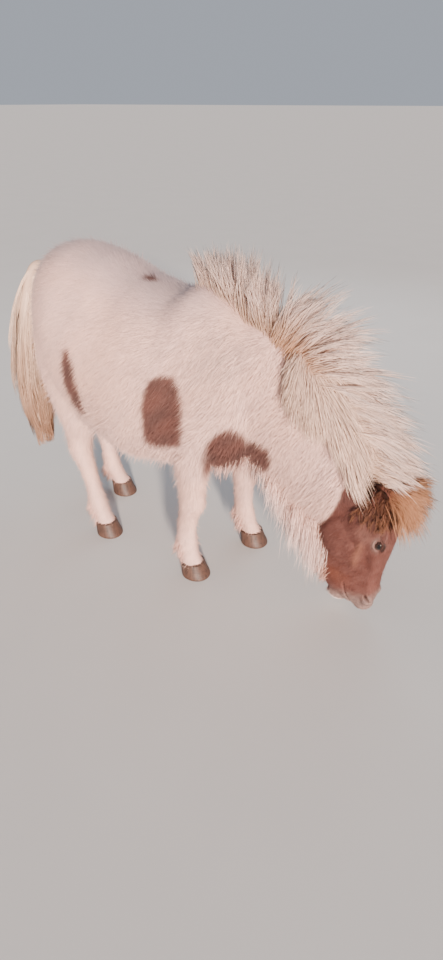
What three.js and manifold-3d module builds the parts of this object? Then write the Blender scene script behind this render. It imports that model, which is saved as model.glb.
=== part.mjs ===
// A Shetland pony grazing in its winter coat, at life size, as a still museum model.
// Millimetres, +Z up, +X towards the head, +Y to the pony's left. Places are measured from the point of the
// floor midway between the fore hooves, and the whole model is moved at the end to stand over the middle of its
// own box.
import * as THREE from "three";
import { mergeVertices } from "three/addons/utils/BufferGeometryUtils.js";
import Module from "manifold-3d";

const wasm = await Module();
wasm.setup();

// Driving dimensions
const GAP = 0.35; // kept between nodes that touch
const WITHERS_HEIGHT = 975;
const CROUP_HEIGHT = 1036;
const BREAST_X = 165;
const BUTTOCK_X = -738;
const CORONET_HEIGHT = 52;

// Torso, from buttock to breast: top line, belly line and half width at each place along the body
const TORSO = [
  { name: "buttock", x: BUTTOCK_X, top: 905, bottom: 640, half: 64 },
  { name: "dock", x: -702, top: 955, bottom: 575, half: 108 },
  { name: "haunch", x: -615, top: 1020, bottom: 490, half: 182 },
  { name: "croup", x: -515, top: CROUP_HEIGHT, bottom: 430, half: 222 },
  { name: "flank", x: -400, top: 1012, bottom: 388, half: 240 },
  { name: "barrel", x: -270, top: 962, bottom: 366, half: 248 },
  { name: "girth", x: -140, top: 944, bottom: 380, half: 228 },
  { name: "withers", x: -50, top: WITHERS_HEIGHT, bottom: 398, half: 196 },
  { name: "shoulder", x: 40, top: 945, bottom: 415, half: 172 },
  { name: "breast", x: 115, top: 880, bottom: 462, half: 142 },
  { name: "breast_end", x: BREAST_X, top: 800, bottom: 530, half: 85 },
];

// Neck, along a line that falls from the shoulders to the poll: half width, and reach to crest and to throat
const NECK_AXIS = [0.8, 0, -0.6];
const NECK = [
  { at: [-60, 0, 790], half: 140, front: 165, back: 190 },
  { at: [60, 0, 735], half: 132, front: 178, back: 205 },
  { at: [170, 0, 660], half: 108, front: 174, back: 205 },
  { at: [270, 0, 580], half: 90, front: 164, back: 205 },
  { at: [355, 0, 505], half: 78, front: 156, back: 200 },
  { at: [430, 0, 440], half: 68, front: 130, back: 180 },
  { at: [490, 0, 395], half: 56, front: 100, back: 120 },
];

const BROW_BED = [
  { at: [545, 0, 345], half: 52, front: 84, back: 60 },
  { at: [592, 0, 295], half: 40, front: 66, back: 40 },
];

// Head, down from the poll: half width, and reach to the face line and to the jaw
const POLL = [556, 0, 492];
const MUZZLE = [538, 0, 46];
const HEAD = [
  { name: "poll", down: 8, half: 40, front: 18, back: 60 },
  { name: "crown", down: 42, half: 61, front: 30, back: 105 },
  { name: "forehead", down: 92, half: 74, front: 40, back: 145 },
  { name: "brow", down: 145, half: 78, front: 44, back: 178 },
  { name: "cheek", down: 200, half: 68, front: 40, back: 196 },
  { name: "nose_bridge", down: 260, half: 55, front: 33, back: 193 },
  { name: "nose", down: 320, half: 47, front: 28, back: 177 },
  { name: "nostrils", down: 370, half: 45, front: 30, back: 160 },
  { name: "lips", down: 408, half: 43, front: 27, back: 146 },
  { name: "lip_end", down: 432, half: 34, front: 14, back: 120 },
];
const SWELLINGS = [
  { name: "jowl", down: 188, front: -92, out: 42, radii: [84, 34, 78] },
  { name: "brow", down: 124, front: 24, out: 56, radii: [34, 19, 20] },
  { name: "nostril_rim", down: 388, front: 6, out: 31, radii: [27, 18, 23] },
  { name: "upper_lip", down: 430, front: -16, out: 0, radii: [26, 38, 32] },
  { name: "chin", down: 424, front: -116, out: 0, radii: [32, 32, 32] },
];
const EYE = { down: 148, front: 14, side: 61, radius: 18.5 };
const EYE_LOOK = [0.3, 0.95, 0.05]; // front, side and up parts of the way that the eye faces
const LID = { thick: 4.4, upperOpen: 38, lowerOpen: 34 };
const NOSTRIL = { down: 384, front: 10, side: 40, long: 15, wide: 7, deep: 11 };
const MOUTH = { corner: { down: 362, front: -72 }, lips: { down: 448, front: -40 }, gap: 2.4, depth: 6 };
const EAR = { down: 42, front: -4, side: 44, length: 84, half: 24, wall: 5, open: 0.42, thinnest: 1.5 };
const EAR_SHAPE = [
  { share: -0.12, half: 0.62, deep: 0.55 },
  { share: 0.12, half: 0.82, deep: 0.66 },
  { share: 0.38, half: 1, deep: 0.62 },
  { share: 0.66, half: 0.78, deep: 0.46 },
  { share: 0.88, half: 0.4, deep: 0.26 },
  { share: 1, half: 0.1, deep: 0.1 },
];

// Legs, from the body to the top of the hoof: how far forward, how far out, half width, front and back reach
const FORELEG = [
  { name: "shoulder", height: 690, x: -20, out: 92, half: 62, front: 95, back: 95 },
  { name: "arm", height: 590, x: -5, out: 108, half: 66, front: 92, back: 92 },
  { name: "elbow", height: 500, x: -18, out: 112, half: 60, front: 74, back: 74 },
  { name: "forearm", height: 410, x: -14, out: 114, half: 52, front: 55, back: 64 },
  { name: "above_knee", height: 330, x: -8, out: 118, half: 44, front: 44, back: 52 },
  { name: "knee", height: 285, x: -5, out: 120, half: 45, front: 47, back: 48 },
  { name: "below_knee", height: 235, x: -12, out: 122, half: 35, front: 35, back: 44 },
  { name: "cannon", height: 170, x: -16, out: 124, half: 32, front: 32, back: 43 },
  { name: "fetlock", height: 112, x: -14, out: 127, half: 38, front: 37, back: 48 },
  { name: "pastern", height: 78, x: -4, out: 130, half: 34, front: 35, back: 38 },
  { name: "coronet", height: CORONET_HEIGHT, x: 6, out: 132, half: 40, front: 42, back: 42 },
];
const HINDLEG = [
  { name: "thigh", height: 760, x: -600, out: 92, half: 84, front: 120, back: 82 },
  { name: "buttock", height: 660, x: -590, out: 106, half: 84, front: 132, back: 98 },
  { name: "stifle", height: 560, x: -570, out: 118, half: 78, front: 120, back: 98 },
  { name: "gaskin", height: 465, x: -575, out: 120, half: 58, front: 82, back: 78 },
  { name: "above_hock", height: 390, x: -600, out: 118, half: 41, front: 50, back: 56 },
  { name: "hock", height: 335, x: -614, out: 117, half: 40, front: 45, back: 50 },
  { name: "below_hock", height: 275, x: -604, out: 118, half: 33, front: 37, back: 41 },
  { name: "cannon", height: 195, x: -593, out: 119, half: 30, front: 32, back: 35 },
  { name: "fetlock", height: 118, x: -584, out: 120, half: 36, front: 37, back: 43 },
  { name: "pastern", height: 80, x: -568, out: 121, half: 34, front: 36, back: 38 },
  { name: "coronet", height: CORONET_HEIGHT, x: -554, out: 122, half: 39, front: 41, back: 41 },
];
// How far each foot stands ahead of the table's place and out from it, fading out towards the body, and how far
// the middle of the leg bows backwards
const LEGS = {
  foreleg_right: { table: FORELEG, side: -1, stride: -50, bow: 4, spread: 2 },
  foreleg_left: { table: FORELEG, side: 1, stride: 28, bow: 6, spread: 0 },
  hindleg_right: { table: HINDLEG, side: -1, stride: 96, bow: 0, spread: 4 },
  hindleg_left: { table: HINDLEG, side: 1, stride: -40, bow: 30, spread: 0 },
};
const HOOF = [
  { rise: 1, ahead: 0, half: 1, front: 1, back: 1 },
  { rise: 0.55, ahead: 5, half: 1.08, front: 1.12, back: 1.02 },
  { rise: 0, ahead: 12, half: 1.2, front: 1.3, back: 1.06 },
];

// Tail, from the dock down: it hangs a little to the right
const TAIL = [
  { at: [-690, 0, 925], half: 30, front: 30, back: 30 },
  { at: [-758, -4, 924], half: 38, front: 30, back: 32 },
  { at: [-794, -14, 850], half: 54, front: 34, back: 38 },
  { at: [-814, -28, 720], half: 68, front: 38, back: 42 },
  { at: [-830, -34, 580], half: 72, front: 40, back: 42 },
  { at: [-850, -30, 440], half: 56, front: 32, back: 34 },
  { at: [-864, -22, 320], half: 26, front: 18, back: 18 },
  { at: [-874, -14, 222], half: 6, front: 6, back: 6 },
];
// Long hair. Each lock is a flat blade with a ridge on both faces; its width and thickness taper to a point.
const LOCK_RINGS = [
  { share: 0, width: 0.7 },
  { share: 0.38, width: 1 },
  { share: 0.74, width: 0.66 },
];
const LOCK_FLATNESS = 0.34; // thickness over width
const ROOT_DEPTH = 16;
const HAIR_SEED = 7;
// Where the crest of the mane begins, on the withers
const CREST_START = [-80, 0, WITHERS_HEIGHT];
// Mane that hangs on the right and on the left: places along the neck where it is rooted, lengths, how much of
// its length runs towards the head, angles round the neck at its root and tip, how far it stands off and sags
const HANGING = {
  right: {
    count: 16,
    from: 205,
    to: 600,
    length: [140, 220],
    run: [0.35, 0.75],
    root: [86, 106],
    tip: [124, 158],
    lift: [24, 44],
    sag: [0, 12],
    steep: 2.6,
    width: [40, 56],
  },
  left: {
    count: 12,
    from: 165,
    to: 670,
    length: [210, 300],
    run: [0.3, 0.6],
    root: [62, 84],
    tip: [-14, 24],
    lift: [36, 70],
    sag: [0, 30],
    steep: 2.4,
    width: [46, 62],
  },
};
// Ahead of this place the hanging mane grows shorter, down to this share of its length
const MANE_THINS = { from: 420, share: 0.62 };
// Mane that stands up from the crest. Lean is the forward part of the way it leaves and up is the upward part,
// at shares of the distance along the crest. Pull bends it on its way.
const WITHERS_FAN = {
  count: 14,
  from: -56,
  to: 162,
  width: [38, 52],
  side: [-0.22, 0.32],
  pull: [0, 0.06, -0.1],
  table: [
    { share: 0, lean: -0.42, up: 1, length: 112 },
    { share: 0.3, lean: -0.25, up: 1, length: 168 },
    { share: 0.6, lean: -0.08, up: 1, length: 186 },
    { share: 1, lean: 0.12, up: 1, length: 150 },
  ],
};
const CREST_SPRAY = {
  count: 25,
  from: 180,
  to: 520,
  width: [46, 62],
  side: [-0.05, 0.58],
  pull: [0.08, 0.05, -0.38],
  table: [
    { share: 0, lean: 0.12, up: 0.95, length: 225 },
    { share: 0.12, lean: 0.42, up: 0.72, length: 265 },
    { share: 0.35, lean: 0.72, up: 0.24, length: 220 },
    { share: 0.6, lean: 0.72, up: 0.12, length: 190 },
    { share: 1, lean: 0.72, up: -0.03, length: 142 },
  ],
};
const STANDING_FACE = [0.3, -1, 0.3]; // the way its flat faces look
const CREST_HALF = [-26, 26]; // how far to each side of the middle the standing mane is rooted
const UNEVEN = [-0.12, 0.12];
const UNEVEN_LENGTH = [0.86, 1.06];
const NECK_FAN_START = -12; // the fan's roots ahead of this place belong to the neck
// Forelock: places down from the poll and to each side of it, the ways that it leaves, and its fall
const FORELOCK = {
  count: 11,
  down: [8, 30],
  front: 4,
  side: 30,
  forward: [0.7, 1],
  outward: 0.75,
  upward: [-0.15, 0.7],
  fall: [0.3, 0.6],
  length: [112, 158],
  width: [36, 48],
};
// Fringes below the throat, along the jaw and below the breast: places along the form and angles round it, the
// parts of the way that each lock leaves, and the pull that bends it
const THROAT = {
  count: 18,
  from: 380,
  to: 660,
  around: [-122, -58],
  out: 0.3,
  forward: [-0.05, 0.2],
  down: 0.9,
  bend: [0, 0.1],
  fall: 0.1,
  length: [50, 240],
  growth: 1.2,
  uneven: [0.85, 1.08],
  width: [34, 48],
};
const JAW = {
  count: 10,
  from: 140,
  to: 360,
  around: [-125, -55],
  out: 0.55,
  forward: [-0.15, 0.05],
  down: 0.8,
  pull: [0.12, 0, -0.1],
  length: [80, 122],
  width: [28, 40],
};
const CHEST = {
  count: 8,
  from: 40,
  to: 165,
  around: [-112, -68],
  out: 0.5,
  backward: 0.15,
  down: 0.6,
  pull: [-0.05, 0, -0.15],
  length: [38, 62],
  width: [34, 48],
};
const FEATHER = {
  count: 4,
  around: [-165, -15],
  above: [44, 70],
  out: 0.42,
  backward: 0.05,
  down: 0.85,
  pull: [0, 0, -0.05],
  length: [46, 60],
  width: [24, 32],
};
const TAIL_LOCKS = {
  count: 21,
  from: 0.12,
  to: 0.8,
  turn: [-22, 22],
  lift: [18, 34],
  steep: 1.6,
  sag: [0, 20],
  length: [230, 400],
  shortens: [1.15, 0.65],
  width: [36, 52],
};
// How finely each form is faceted: sides round it, steps between stations, and how far its ends bulge
const FACETS = {
  torso: { sides: 20, steps: 2, cap: 0.35 },
  neck: { sides: 16, steps: 2, cap: 0.4 },
  head: { sides: 16, steps: 2, cap: 0.5 },
  leg: { sides: 10, steps: 2, cap: 0 },
  hoof: { sides: 14, steps: 1, cap: 0 },
  core: { sides: 10, steps: 1, cap: 0.5 },
  ear: { sides: 10, steps: 1, cap: 0.3 },
  earCup: { sides: 8, steps: 1, cap: 0.3 },
  lips: { sides: 12, steps: 1, cap: 0.5 },
};
const BALL_SIDES = { eye: 10, nostril: 8, swelling: 8 };
const DOME_RINGS = [0.35, 0.72].map((share) => (share * Math.PI) / 2); // turns of the rings of a bulging end
const COAT_COLOUR = { white: 0xe9ddd0, chestnut: 0x9a5a42, mane: 0xe4d6bf, horn: 0x6e5648, eye: 0x17100d };

// Smooth curve through values at rising places, with slopes that never overshoot
function smoothThrough(places, values) {
  const last = places.length - 1;
  const chord = places.slice(1).map((p, i) => (values[i + 1] - values[i]) / (p - places[i]));
  const slope = places.map((_, i) => {
    if (i === 0) return chord[0];
    if (i === last) return chord[last - 1];
    if (chord[i - 1] * chord[i] <= 0) return 0;
    return (2 * chord[i - 1] * chord[i]) / (chord[i - 1] + chord[i]);
  });
  return (place) => {
    const t = Math.min(places[last], Math.max(places[0], place));
    const next = places.findIndex((p) => t < p);
    const i = next < 0 ? last - 1 : next - 1;
    const span = places[i + 1] - places[i];
    const s = (t - places[i]) / span;
    const near = values[i] * (1 + 2 * s) + slope[i] * span * s;
    const far = values[i + 1] * (3 - 2 * s) - slope[i + 1] * span * (1 - s);
    return near * (1 - s) ** 2 + far * s ** 2;
  };
}

// A body carried through oval sections. Each station has a place, a half width, and a reach to its front and
// back. The sections face one way throughout, or follow the line where no way is given.
class Form {
  constructor(stations, { facing = null, squareness = 2 } = {}) {
    this.along = [0];
    stations.slice(1).forEach((s, i) => {
      this.along.push(this.along[i] + Math.hypot(...s.at.map((v, k) => v - stations[i].at[k])));
    });
    this.length = this.along[this.along.length - 1];
    const curve = (pick) => smoothThrough(this.along, stations.map(pick));
    this.place = [0, 1, 2].map((k) => curve((s) => s.at[k]));
    this.half = curve((s) => s.half);
    this.front = curve((s) => s.front);
    this.back = curve((s) => s.back);
    this.facing = facing && new THREE.Vector3(...facing).normalize();
    this.squareness = squareness;
  }

  middle(t) {
    return new THREE.Vector3(...this.place.map((f) => f(t)));
  }

  // Tangent, side and front directions of the section at t
  axes(t) {
    const step = this.length / 200;
    const tangent = this.facing
      ? this.facing.clone()
      : this.middle(Math.min(this.length, t + step)).sub(this.middle(Math.max(0, t - step))).normalize();
    const side = new THREE.Vector3(0, 1, 0).addScaledVector(tangent, -tangent.y).normalize();
    return { tangent, side, front: new THREE.Vector3().crossVectors(tangent, side) };
  }

  // Point of the surface at angle a, counted from the side towards the front, moved out by lift
  point(t, a, lift = 0, scale = 1) {
    const { side, front } = this.axes(t);
    const round = (v) => Math.sign(v) * Math.abs(v) ** (2 / this.squareness);
    const reach = Math.sin(a) > 0 ? this.front(t) : this.back(t);
    return this.middle(t)
      .addScaledVector(side, round(Math.cos(a)) * (this.half(t) + lift) * scale)
      .addScaledVector(front, round(Math.sin(a)) * (reach + lift) * scale);
  }

  // The closed surface: rings of sides along the line, with an end cap that bulges by cap times the half width
  geometry({ sides, steps, cap, grow = 0 }) {
    const positions = [];
    const rings = [];
    const end = this.length;
    const domes = cap ? DOME_RINGS : [];
    const bulge = (t) => cap * (this.half(t) + grow);
    const dome = (t, turn, way) => ({ t, scale: Math.cos(turn), shift: way * bulge(t) * Math.sin(turn) });
    for (const turn of [...domes].reverse()) rings.push(dome(0, turn, -1));
    this.along.slice(1).forEach((next, i) => {
      const from = this.along[i];
      for (let k = 0; k < steps; k++) rings.push({ t: from + ((next - from) * k) / steps, scale: 1, shift: 0 });
    });
    rings.push({ t: end, scale: 1, shift: 0 });
    for (const turn of domes) rings.push(dome(end, turn, 1));
    for (const { t, scale, shift } of rings) {
      const { tangent } = this.axes(t);
      for (let k = 0; k < sides; k++) {
        const p = this.point(t, (2 * Math.PI * k) / sides, grow, scale).addScaledVector(tangent, shift);
        positions.push(p.x, p.y, p.z);
      }
    }
    for (const [t, shift] of [[0, -bulge(0)], [end, bulge(end)]]) {
      const p = this.middle(t).addScaledVector(this.axes(t).tangent, shift);
      positions.push(p.x, p.y, p.z);
    }
    return tube(positions, rings.length, sides);
  }

  solid(options) {
    return solid(this.geometry(options));
  }
}

// Joins rings of points and their two end points into one closed surface
function tube(positions, rings, sides) {
  const index = [];
  const at = (i, k) => i * sides + (k % sides);
  for (let i = 0; i < rings - 1; i++)
    for (let k = 0; k < sides; k++)
      index.push(at(i, k), at(i, k + 1), at(i + 1, k + 1), at(i, k), at(i + 1, k + 1), at(i + 1, k));
  for (let k = 0; k < sides; k++) {
    index.push(rings * sides, at(0, k + 1), at(0, k));
    index.push(rings * sides + 1, at(rings - 1, k), at(rings - 1, k + 1));
  }
  return new THREE.BufferGeometry()
    .setAttribute("position", new THREE.Float32BufferAttribute(positions, 3))
    .setIndex(index);
}

// A three.js geometry as a solid that can be joined and cut
function solid(geometry) {
  const bare = geometry.clone();
  bare.deleteAttribute("normal");
  bare.deleteAttribute("uv");
  const merged = mergeVertices(bare, 1e-3);
  return new wasm.Manifold(
    new wasm.Mesh({
      numProp: 3,
      vertProperties: merged.attributes.position.array,
      triVerts: new Uint32Array(merged.index.array),
    }),
  );
}

const join = (solids) => solids.reduce((a, b) => a.add(b));
const cut = (body, ...tools) => tools.reduce((a, b) => a.subtract(b), body);
// The largest closed surface of a solid: it drops loose scraps and fills what joining has sealed
function largest(body) {
  return body.decompose().sort((a, b) => b.volume() - a.volume())[0];
}

// An oval ball with its own three axes
function ball(centre, [along, side], radii, around) {
  const geometry = new THREE.SphereGeometry(1, around, Math.round(around * 0.7));
  geometry.scale(...radii);
  const third = new THREE.Vector3().crossVectors(along, side);
  geometry.applyMatrix4(new THREE.Matrix4().makeBasis(along, side, third).setPosition(centre));
  return solid(geometry);
}

// The forms
const torso = new Form(
  TORSO.map(({ x, top, bottom, half }) => {
    const middle = bottom + (top - bottom) * 0.48;
    return { at: [x, 0, middle], half, front: top - middle, back: middle - bottom };
  }),
  { facing: [1, 0, 0], squareness: 2.15 },
);
const neck = new Form(NECK, { facing: NECK_AXIS });
const crest = [new THREE.Vector3(...CREST_START), ...neck.along.map((t) => neck.point(t, Math.PI / 2))];
const crestHeight = smoothThrough(crest.map(({ x }) => x), crest.map(({ z }) => z));
// The bed that the mane lies on: the neck, carried on over the brow
const maneBed = new Form([...NECK, ...BROW_BED], { facing: NECK_AXIS });
const headAxis = new THREE.Vector3(...MUZZLE).sub(new THREE.Vector3(...POLL)).normalize();
const headFront = new THREE.Vector3().crossVectors(headAxis, new THREE.Vector3(0, 1, 0));
const onHead = ({ down, front = 0, side = 0 }) =>
  new THREE.Vector3(...POLL)
    .addScaledVector(headAxis, down)
    .addScaledVector(headFront, front)
    .add(new THREE.Vector3(0, side, 0));
const head = new Form(
  HEAD.map(({ down, half, front, back }) => ({ at: onHead({ down }).toArray(), half, front, back })),
  { facing: headAxis.toArray(), squareness: 2.25 },
);
const legs = Object.fromEntries(
  Object.entries(LEGS).map(([name, { table, side, stride, bow, spread }]) => {
    const swing = (height) => Math.min(1, (1 - height / table[0].height) * 1.25);
    const bend = (height) => bow * Math.sin(Math.PI * (1 - height / table[0].height));
    const stations = table.map(({ height, x, out, half, front, back }) => ({
      at: [x + stride * swing(height) - bend(height), side * (out + spread * swing(height)), height],
      half,
      front,
      back,
    }));
    return [name, new Form(stations, { facing: [0, 0, -1] })];
  }),
);

// The hoof of a leg, with a flat sole on the floor
function hoof(leg, grow) {
  const end = leg.length;
  const top = leg.middle(end);
  const stations = HOOF.map(({ rise, ahead, half, front, back }) => ({
    at: [top.x + ahead, top.y, (CORONET_HEIGHT - GAP) * rise],
    half: leg.half(end) * half + grow,
    front: leg.front(end) * front + grow,
    back: leg.back(end) * back + grow,
  }));
  return new Form(stations, { facing: [0, 0, -1], squareness: 2.1 }).solid(FACETS.hoof);
}

// One eye: the way it faces, the way to the nose and the way to the brow
function eyeAxes(side) {
  const [front, out, up] = EYE_LOOK;
  const look = headFront.clone().multiplyScalar(front).add(new THREE.Vector3(0, side * out, 0));
  look.addScaledVector(headAxis, -up).normalize();
  const nasal = headAxis.clone().addScaledVector(look, -headAxis.dot(look)).normalize();
  return { look, nasal, brow: new THREE.Vector3().crossVectors(look, nasal).multiplyScalar(side) };
}

function eyeball(side, grow = 0) {
  const { nasal, brow } = eyeAxes(side);
  const r = EYE.radius + grow;
  return ball(onHead({ ...EYE, side: side * EYE.side }), [nasal, brow], [r, r, r], BALL_SIDES.eye);
}

// A lid: a tube bent over the eyeball from its front corner to its back corner
function lid(side, towardsBrow, open) {
  const { look, nasal, brow } = eyeAxes(side);
  const centre = onHead({ ...EYE, side: side * EYE.side });
  const tilt = (open * Math.PI) / 180;
  const over = brow.clone().multiplyScalar(towardsBrow * Math.cos(tilt)).addScaledVector(look, Math.sin(tilt));
  const points = [];
  const bends = 6;
  for (let i = 0; i <= bends; i++) {
    const a = (Math.PI * i) / bends;
    points.push(
      centre
        .clone()
        .addScaledVector(nasal, Math.cos(a) * (EYE.radius + 1))
        .addScaledVector(over, Math.sin(a) * (EYE.radius + 1)),
    );
  }
  return bead(points, (s) => LID.thick * (0.6 + 0.4 * Math.sin(Math.PI * s)), 5);
}

// A round bead along points, with a radius for each share of its length
function bead(points, radius, sides) {
  const positions = [];
  const last = points.length - 1;
  points.forEach((p, i) => {
    const tangent = points[Math.min(last, i + 1)].clone().sub(points[Math.max(0, i - 1)]).normalize();
    const hint = Math.abs(tangent.y) < 0.9 ? new THREE.Vector3(0, 1, 0) : new THREE.Vector3(1, 0, 0);
    const side = hint.addScaledVector(tangent, -hint.dot(tangent)).normalize();
    const front = new THREE.Vector3().crossVectors(tangent, side);
    for (let k = 0; k < sides; k++) {
      const a = (2 * Math.PI * k) / sides;
      const r = radius(i / last);
      const q = p.clone().addScaledVector(side, Math.cos(a) * r).addScaledVector(front, Math.sin(a) * r);
      positions.push(q.x, q.y, q.z);
    }
  });
  positions.push(...points[0].toArray(), ...points[last].toArray());
  return solid(tube(positions, points.length, sides));
}

// The slit between the lips: a thin slab, cut only as deep as the lips' edge
function mouthSlit() {
  const corner = onHead(MOUTH.corner);
  const lips = onHead(MOUTH.lips);
  const along = lips.clone().sub(corner);
  const slab = new THREE.BoxGeometry(along.length(), 200, MOUTH.gap);
  const way = along.clone().normalize();
  const side = new THREE.Vector3(0, 1, 0);
  slab.applyMatrix4(
    new THREE.Matrix4()
      .makeBasis(way, side, new THREE.Vector3().crossVectors(way, side))
      .setPosition(corner.clone().add(lips).multiplyScalar(0.5)),
  );
  return solid(slab).subtract(head.solid({ ...FACETS.lips, grow: -MOUTH.depth }));
}

function nostril(side) {
  const out = new THREE.Vector3(0, side, 0).addScaledVector(headFront, 0.5).normalize();
  const long = headAxis.clone().multiplyScalar(0.8).addScaledVector(headFront, 0.6);
  long.addScaledVector(out, -long.dot(out)).normalize();
  const wide = new THREE.Vector3().crossVectors(out, long);
  const centre = onHead({ ...NOSTRIL, side: side * NOSTRIL.side });
  return ball(centre, [long, wide], [NOSTRIL.long, NOSTRIL.wide, NOSTRIL.deep], BALL_SIDES.nostril);
}

// An ear: a leaf that stands up from the poll, hollowed from its outer face
function ear(side, grow = 0) {
  const up = headAxis.clone().multiplyScalar(-0.93).add(new THREE.Vector3(-0.12, side * 0.36, 0)).normalize();
  const root = onHead({ ...EAR, side: side * EAR.side });
  const leaf = (shape, shift, shrink) => {
    const reach = (share) => Math.max(EAR.thinnest, share * EAR.half - shrink) + grow;
    const stations = shape.map(({ share, half, deep }) => ({
      at: root.clone().addScaledVector(up, share * EAR.length).add(shift).toArray(),
      half: reach(half),
      front: reach(deep),
      back: reach(deep),
    }));
    return new Form(stations, { facing: up.toArray() });
  };
  const open = headFront.clone().multiplyScalar(0.5).add(new THREE.Vector3(0, side * 0.85, 0)).normalize();
  const outer = leaf(EAR_SHAPE, new THREE.Vector3(), 0).solid(FACETS.ear);
  const inside = EAR_SHAPE.slice(1);
  const cup = leaf(inside, open.multiplyScalar(EAR.half * EAR.open), EAR.wall).solid(FACETS.earCup);
  return grow ? outer : outer.subtract(cup);
}

// Seeded random numbers between two limits
function dice(seed) {
  let state = seed * 2654435761;
  return (low, high) => {
    state = (state + 0x6d2b79f5) | 0;
    let t = Math.imul(state ^ (state >>> 15), 1 | state);
    t = (t + Math.imul(t ^ (t >>> 7), 61 | t)) ^ t;
    return low + (((t ^ (t >>> 14)) >>> 0) / 4294967296) * (high - low);
  };
}

// A lock of hair along path(u), u from 0 at the root to 1 at the tip. out(u) is the way its flat face looks.
function lock(path, out, width, grow = 0) {
  const positions = [];
  const push = (p) => positions.push(p.x, p.y, p.z);
  for (const ring of LOCK_RINGS) {
    const middle = path(ring.share);
    const tangent = path(ring.share + 0.02).sub(path(ring.share - 0.02)).normalize();
    const face = out(ring.share);
    face.addScaledVector(tangent, -face.dot(tangent)).normalize();
    const side = new THREE.Vector3().crossVectors(face, tangent);
    const half = (width * ring.width) / 2 + grow;
    const thick = (width * ring.width * LOCK_FLATNESS) / 2 + grow;
    push(middle.clone().addScaledVector(side, half));
    push(middle.clone().addScaledVector(face, thick));
    push(middle.clone().addScaledVector(side, -half));
    push(middle.clone().addScaledVector(face, -thick));
  }
  push(path(0));
  push(path(1 + grow / width));
  return solid(tube(positions, LOCK_RINGS.length, 4));
}

// A lock that lies along a form: it runs from one place to another of its length and around it, and lifts away
function lyingLock(form, { t, run, from, to, lift, steep, width, sag = 0 }, grow) {
  const ease = (u) => u * (1.5 - 0.5 * u);
  const rise = (u) => -ROOT_DEPTH + (lift + ROOT_DEPTH) * (1 - (1 - Math.max(0, u)) ** steep);
  const at = (u, more = 0) =>
    form
      .point(t + run * u, ((from + (to - from) * ease(u)) * Math.PI) / 180, rise(u) + more)
      .add(new THREE.Vector3(0, 0, -sag * u * u));
  return lock(at, (u) => at(u, 1).sub(at(u)), width, grow);
}

// A free lock: it leaves its root one way and is pulled another
function freeLock({ root, way, pull, length, width, face }, grow) {
  const path = (u) => root.clone().addScaledVector(way, length * u).addScaledVector(pull, length * u * u);
  return lock(path, () => face.clone(), width, grow);
}

function spread(count, from, to, roll) {
  return Array.from({ length: count }, (_, i) => from + ((to - from) * (i + roll(0.1, 0.9))) / count);
}

// Mane that hangs down one side of the neck
function hangingLocks({ count, from, to, length, run, root, tip, lift, sag, steep, width }, grow = 0) {
  const roll = dice(HAIR_SEED + count);
  const thin = smoothThrough([from, MANE_THINS.from, to], [1, 1, MANE_THINS.share]);
  return spread(count, from, to, roll).map((t) => {
    const start = roll(...root);
    const turn = (roll(...tip) - (root[0] + root[1]) / 2) * thin(t);
    return lyingLock(
      maneBed,
      {
        t,
        run: roll(...length) * thin(t) * roll(...run),
        from: start,
        to: start + turn,
        lift: roll(...lift),
        steep,
        width: roll(...width),
        sag: roll(...sag),
      },
      grow,
    );
  });
}

// Mane that stands up from the crest, rooted between two places along it
function standingLocks({ count, from, to, width, side, pull, table }, [low, high], grow = 0) {
  const roll = dice(HAIR_SEED + count);
  const along = (pick) => smoothThrough(table.map(({ share }) => share), table.map(pick));
  const lean = along((row) => row.lean);
  const up = along((row) => row.up);
  const long = along((row) => row.length);
  return spread(count, 0, 1, roll)
    .map((share) => {
      const x = from + (to - from) * share;
      const root = new THREE.Vector3(x, roll(...CREST_HALF), crestHeight(x) - ROOT_DEPTH * 1.6);
      const way = new THREE.Vector3(lean(share) + roll(...UNEVEN), roll(...side), up(share) + roll(...UNEVEN));
      return {
        root,
        way: way.normalize(),
        pull: new THREE.Vector3(...pull),
        length: long(share) * roll(...UNEVEN_LENGTH) + ROOT_DEPTH,
        width: roll(...width),
        face: new THREE.Vector3(...STANDING_FACE),
      };
    })
    .filter(({ root }) => root.x >= low && root.x < high)
    .map((one) => freeLock(one, grow));
}

// Forelock: it parts at the poll and falls forward over the brow
function forelockLocks(grow = 0) {
  const roll = dice(HAIR_SEED + 2);
  const { count, down, front, side, forward, outward, upward, fall, length, width } = FORELOCK;
  return spread(count, -1, 1, roll).map((across) =>
    freeLock(
      {
        root: onHead({ down: roll(...down), front, side: across * side }),
        way: new THREE.Vector3(roll(...forward), across * outward, roll(...upward)).normalize(),
        pull: new THREE.Vector3(0, 0, -roll(...fall)),
        length: roll(...length),
        width: roll(...width),
        face: new THREE.Vector3(0.5, across * 0.5, 0.9),
      },
      grow,
    ),
  );
}

// Place on a form below its surface, and the way out of it there
function bed(form, t, degrees, depth) {
  const angle = (degrees * Math.PI) / 180;
  const out = form.point(t, angle, 1).sub(form.point(t, angle)).normalize();
  return { root: form.point(t, angle, -depth), out };
}

// Fringe below the throat, longest where the head hangs
function throatLocks(grow = 0) {
  const roll = dice(HAIR_SEED + 3);
  const [short, long] = THROAT.length;
  return spread(THROAT.count, THROAT.from, THROAT.to, roll).map((t) => {
    const low = (t - THROAT.from) / (THROAT.to - THROAT.from);
    const { root, out } = bed(neck, t, roll(...THROAT.around), ROOT_DEPTH);
    const way = new THREE.Vector3(roll(...THROAT.forward), 0, -THROAT.down).addScaledVector(out, THROAT.out);
    return freeLock(
      {
        root,
        way: way.normalize(),
        pull: new THREE.Vector3(roll(...THROAT.bend), 0, -THROAT.fall),
        length: (short + (long - short) * low ** THROAT.growth) * roll(...THROAT.uneven) + ROOT_DEPTH,
        width: roll(...THROAT.width),
        face: out,
      },
      grow,
    );
  });
}

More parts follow.
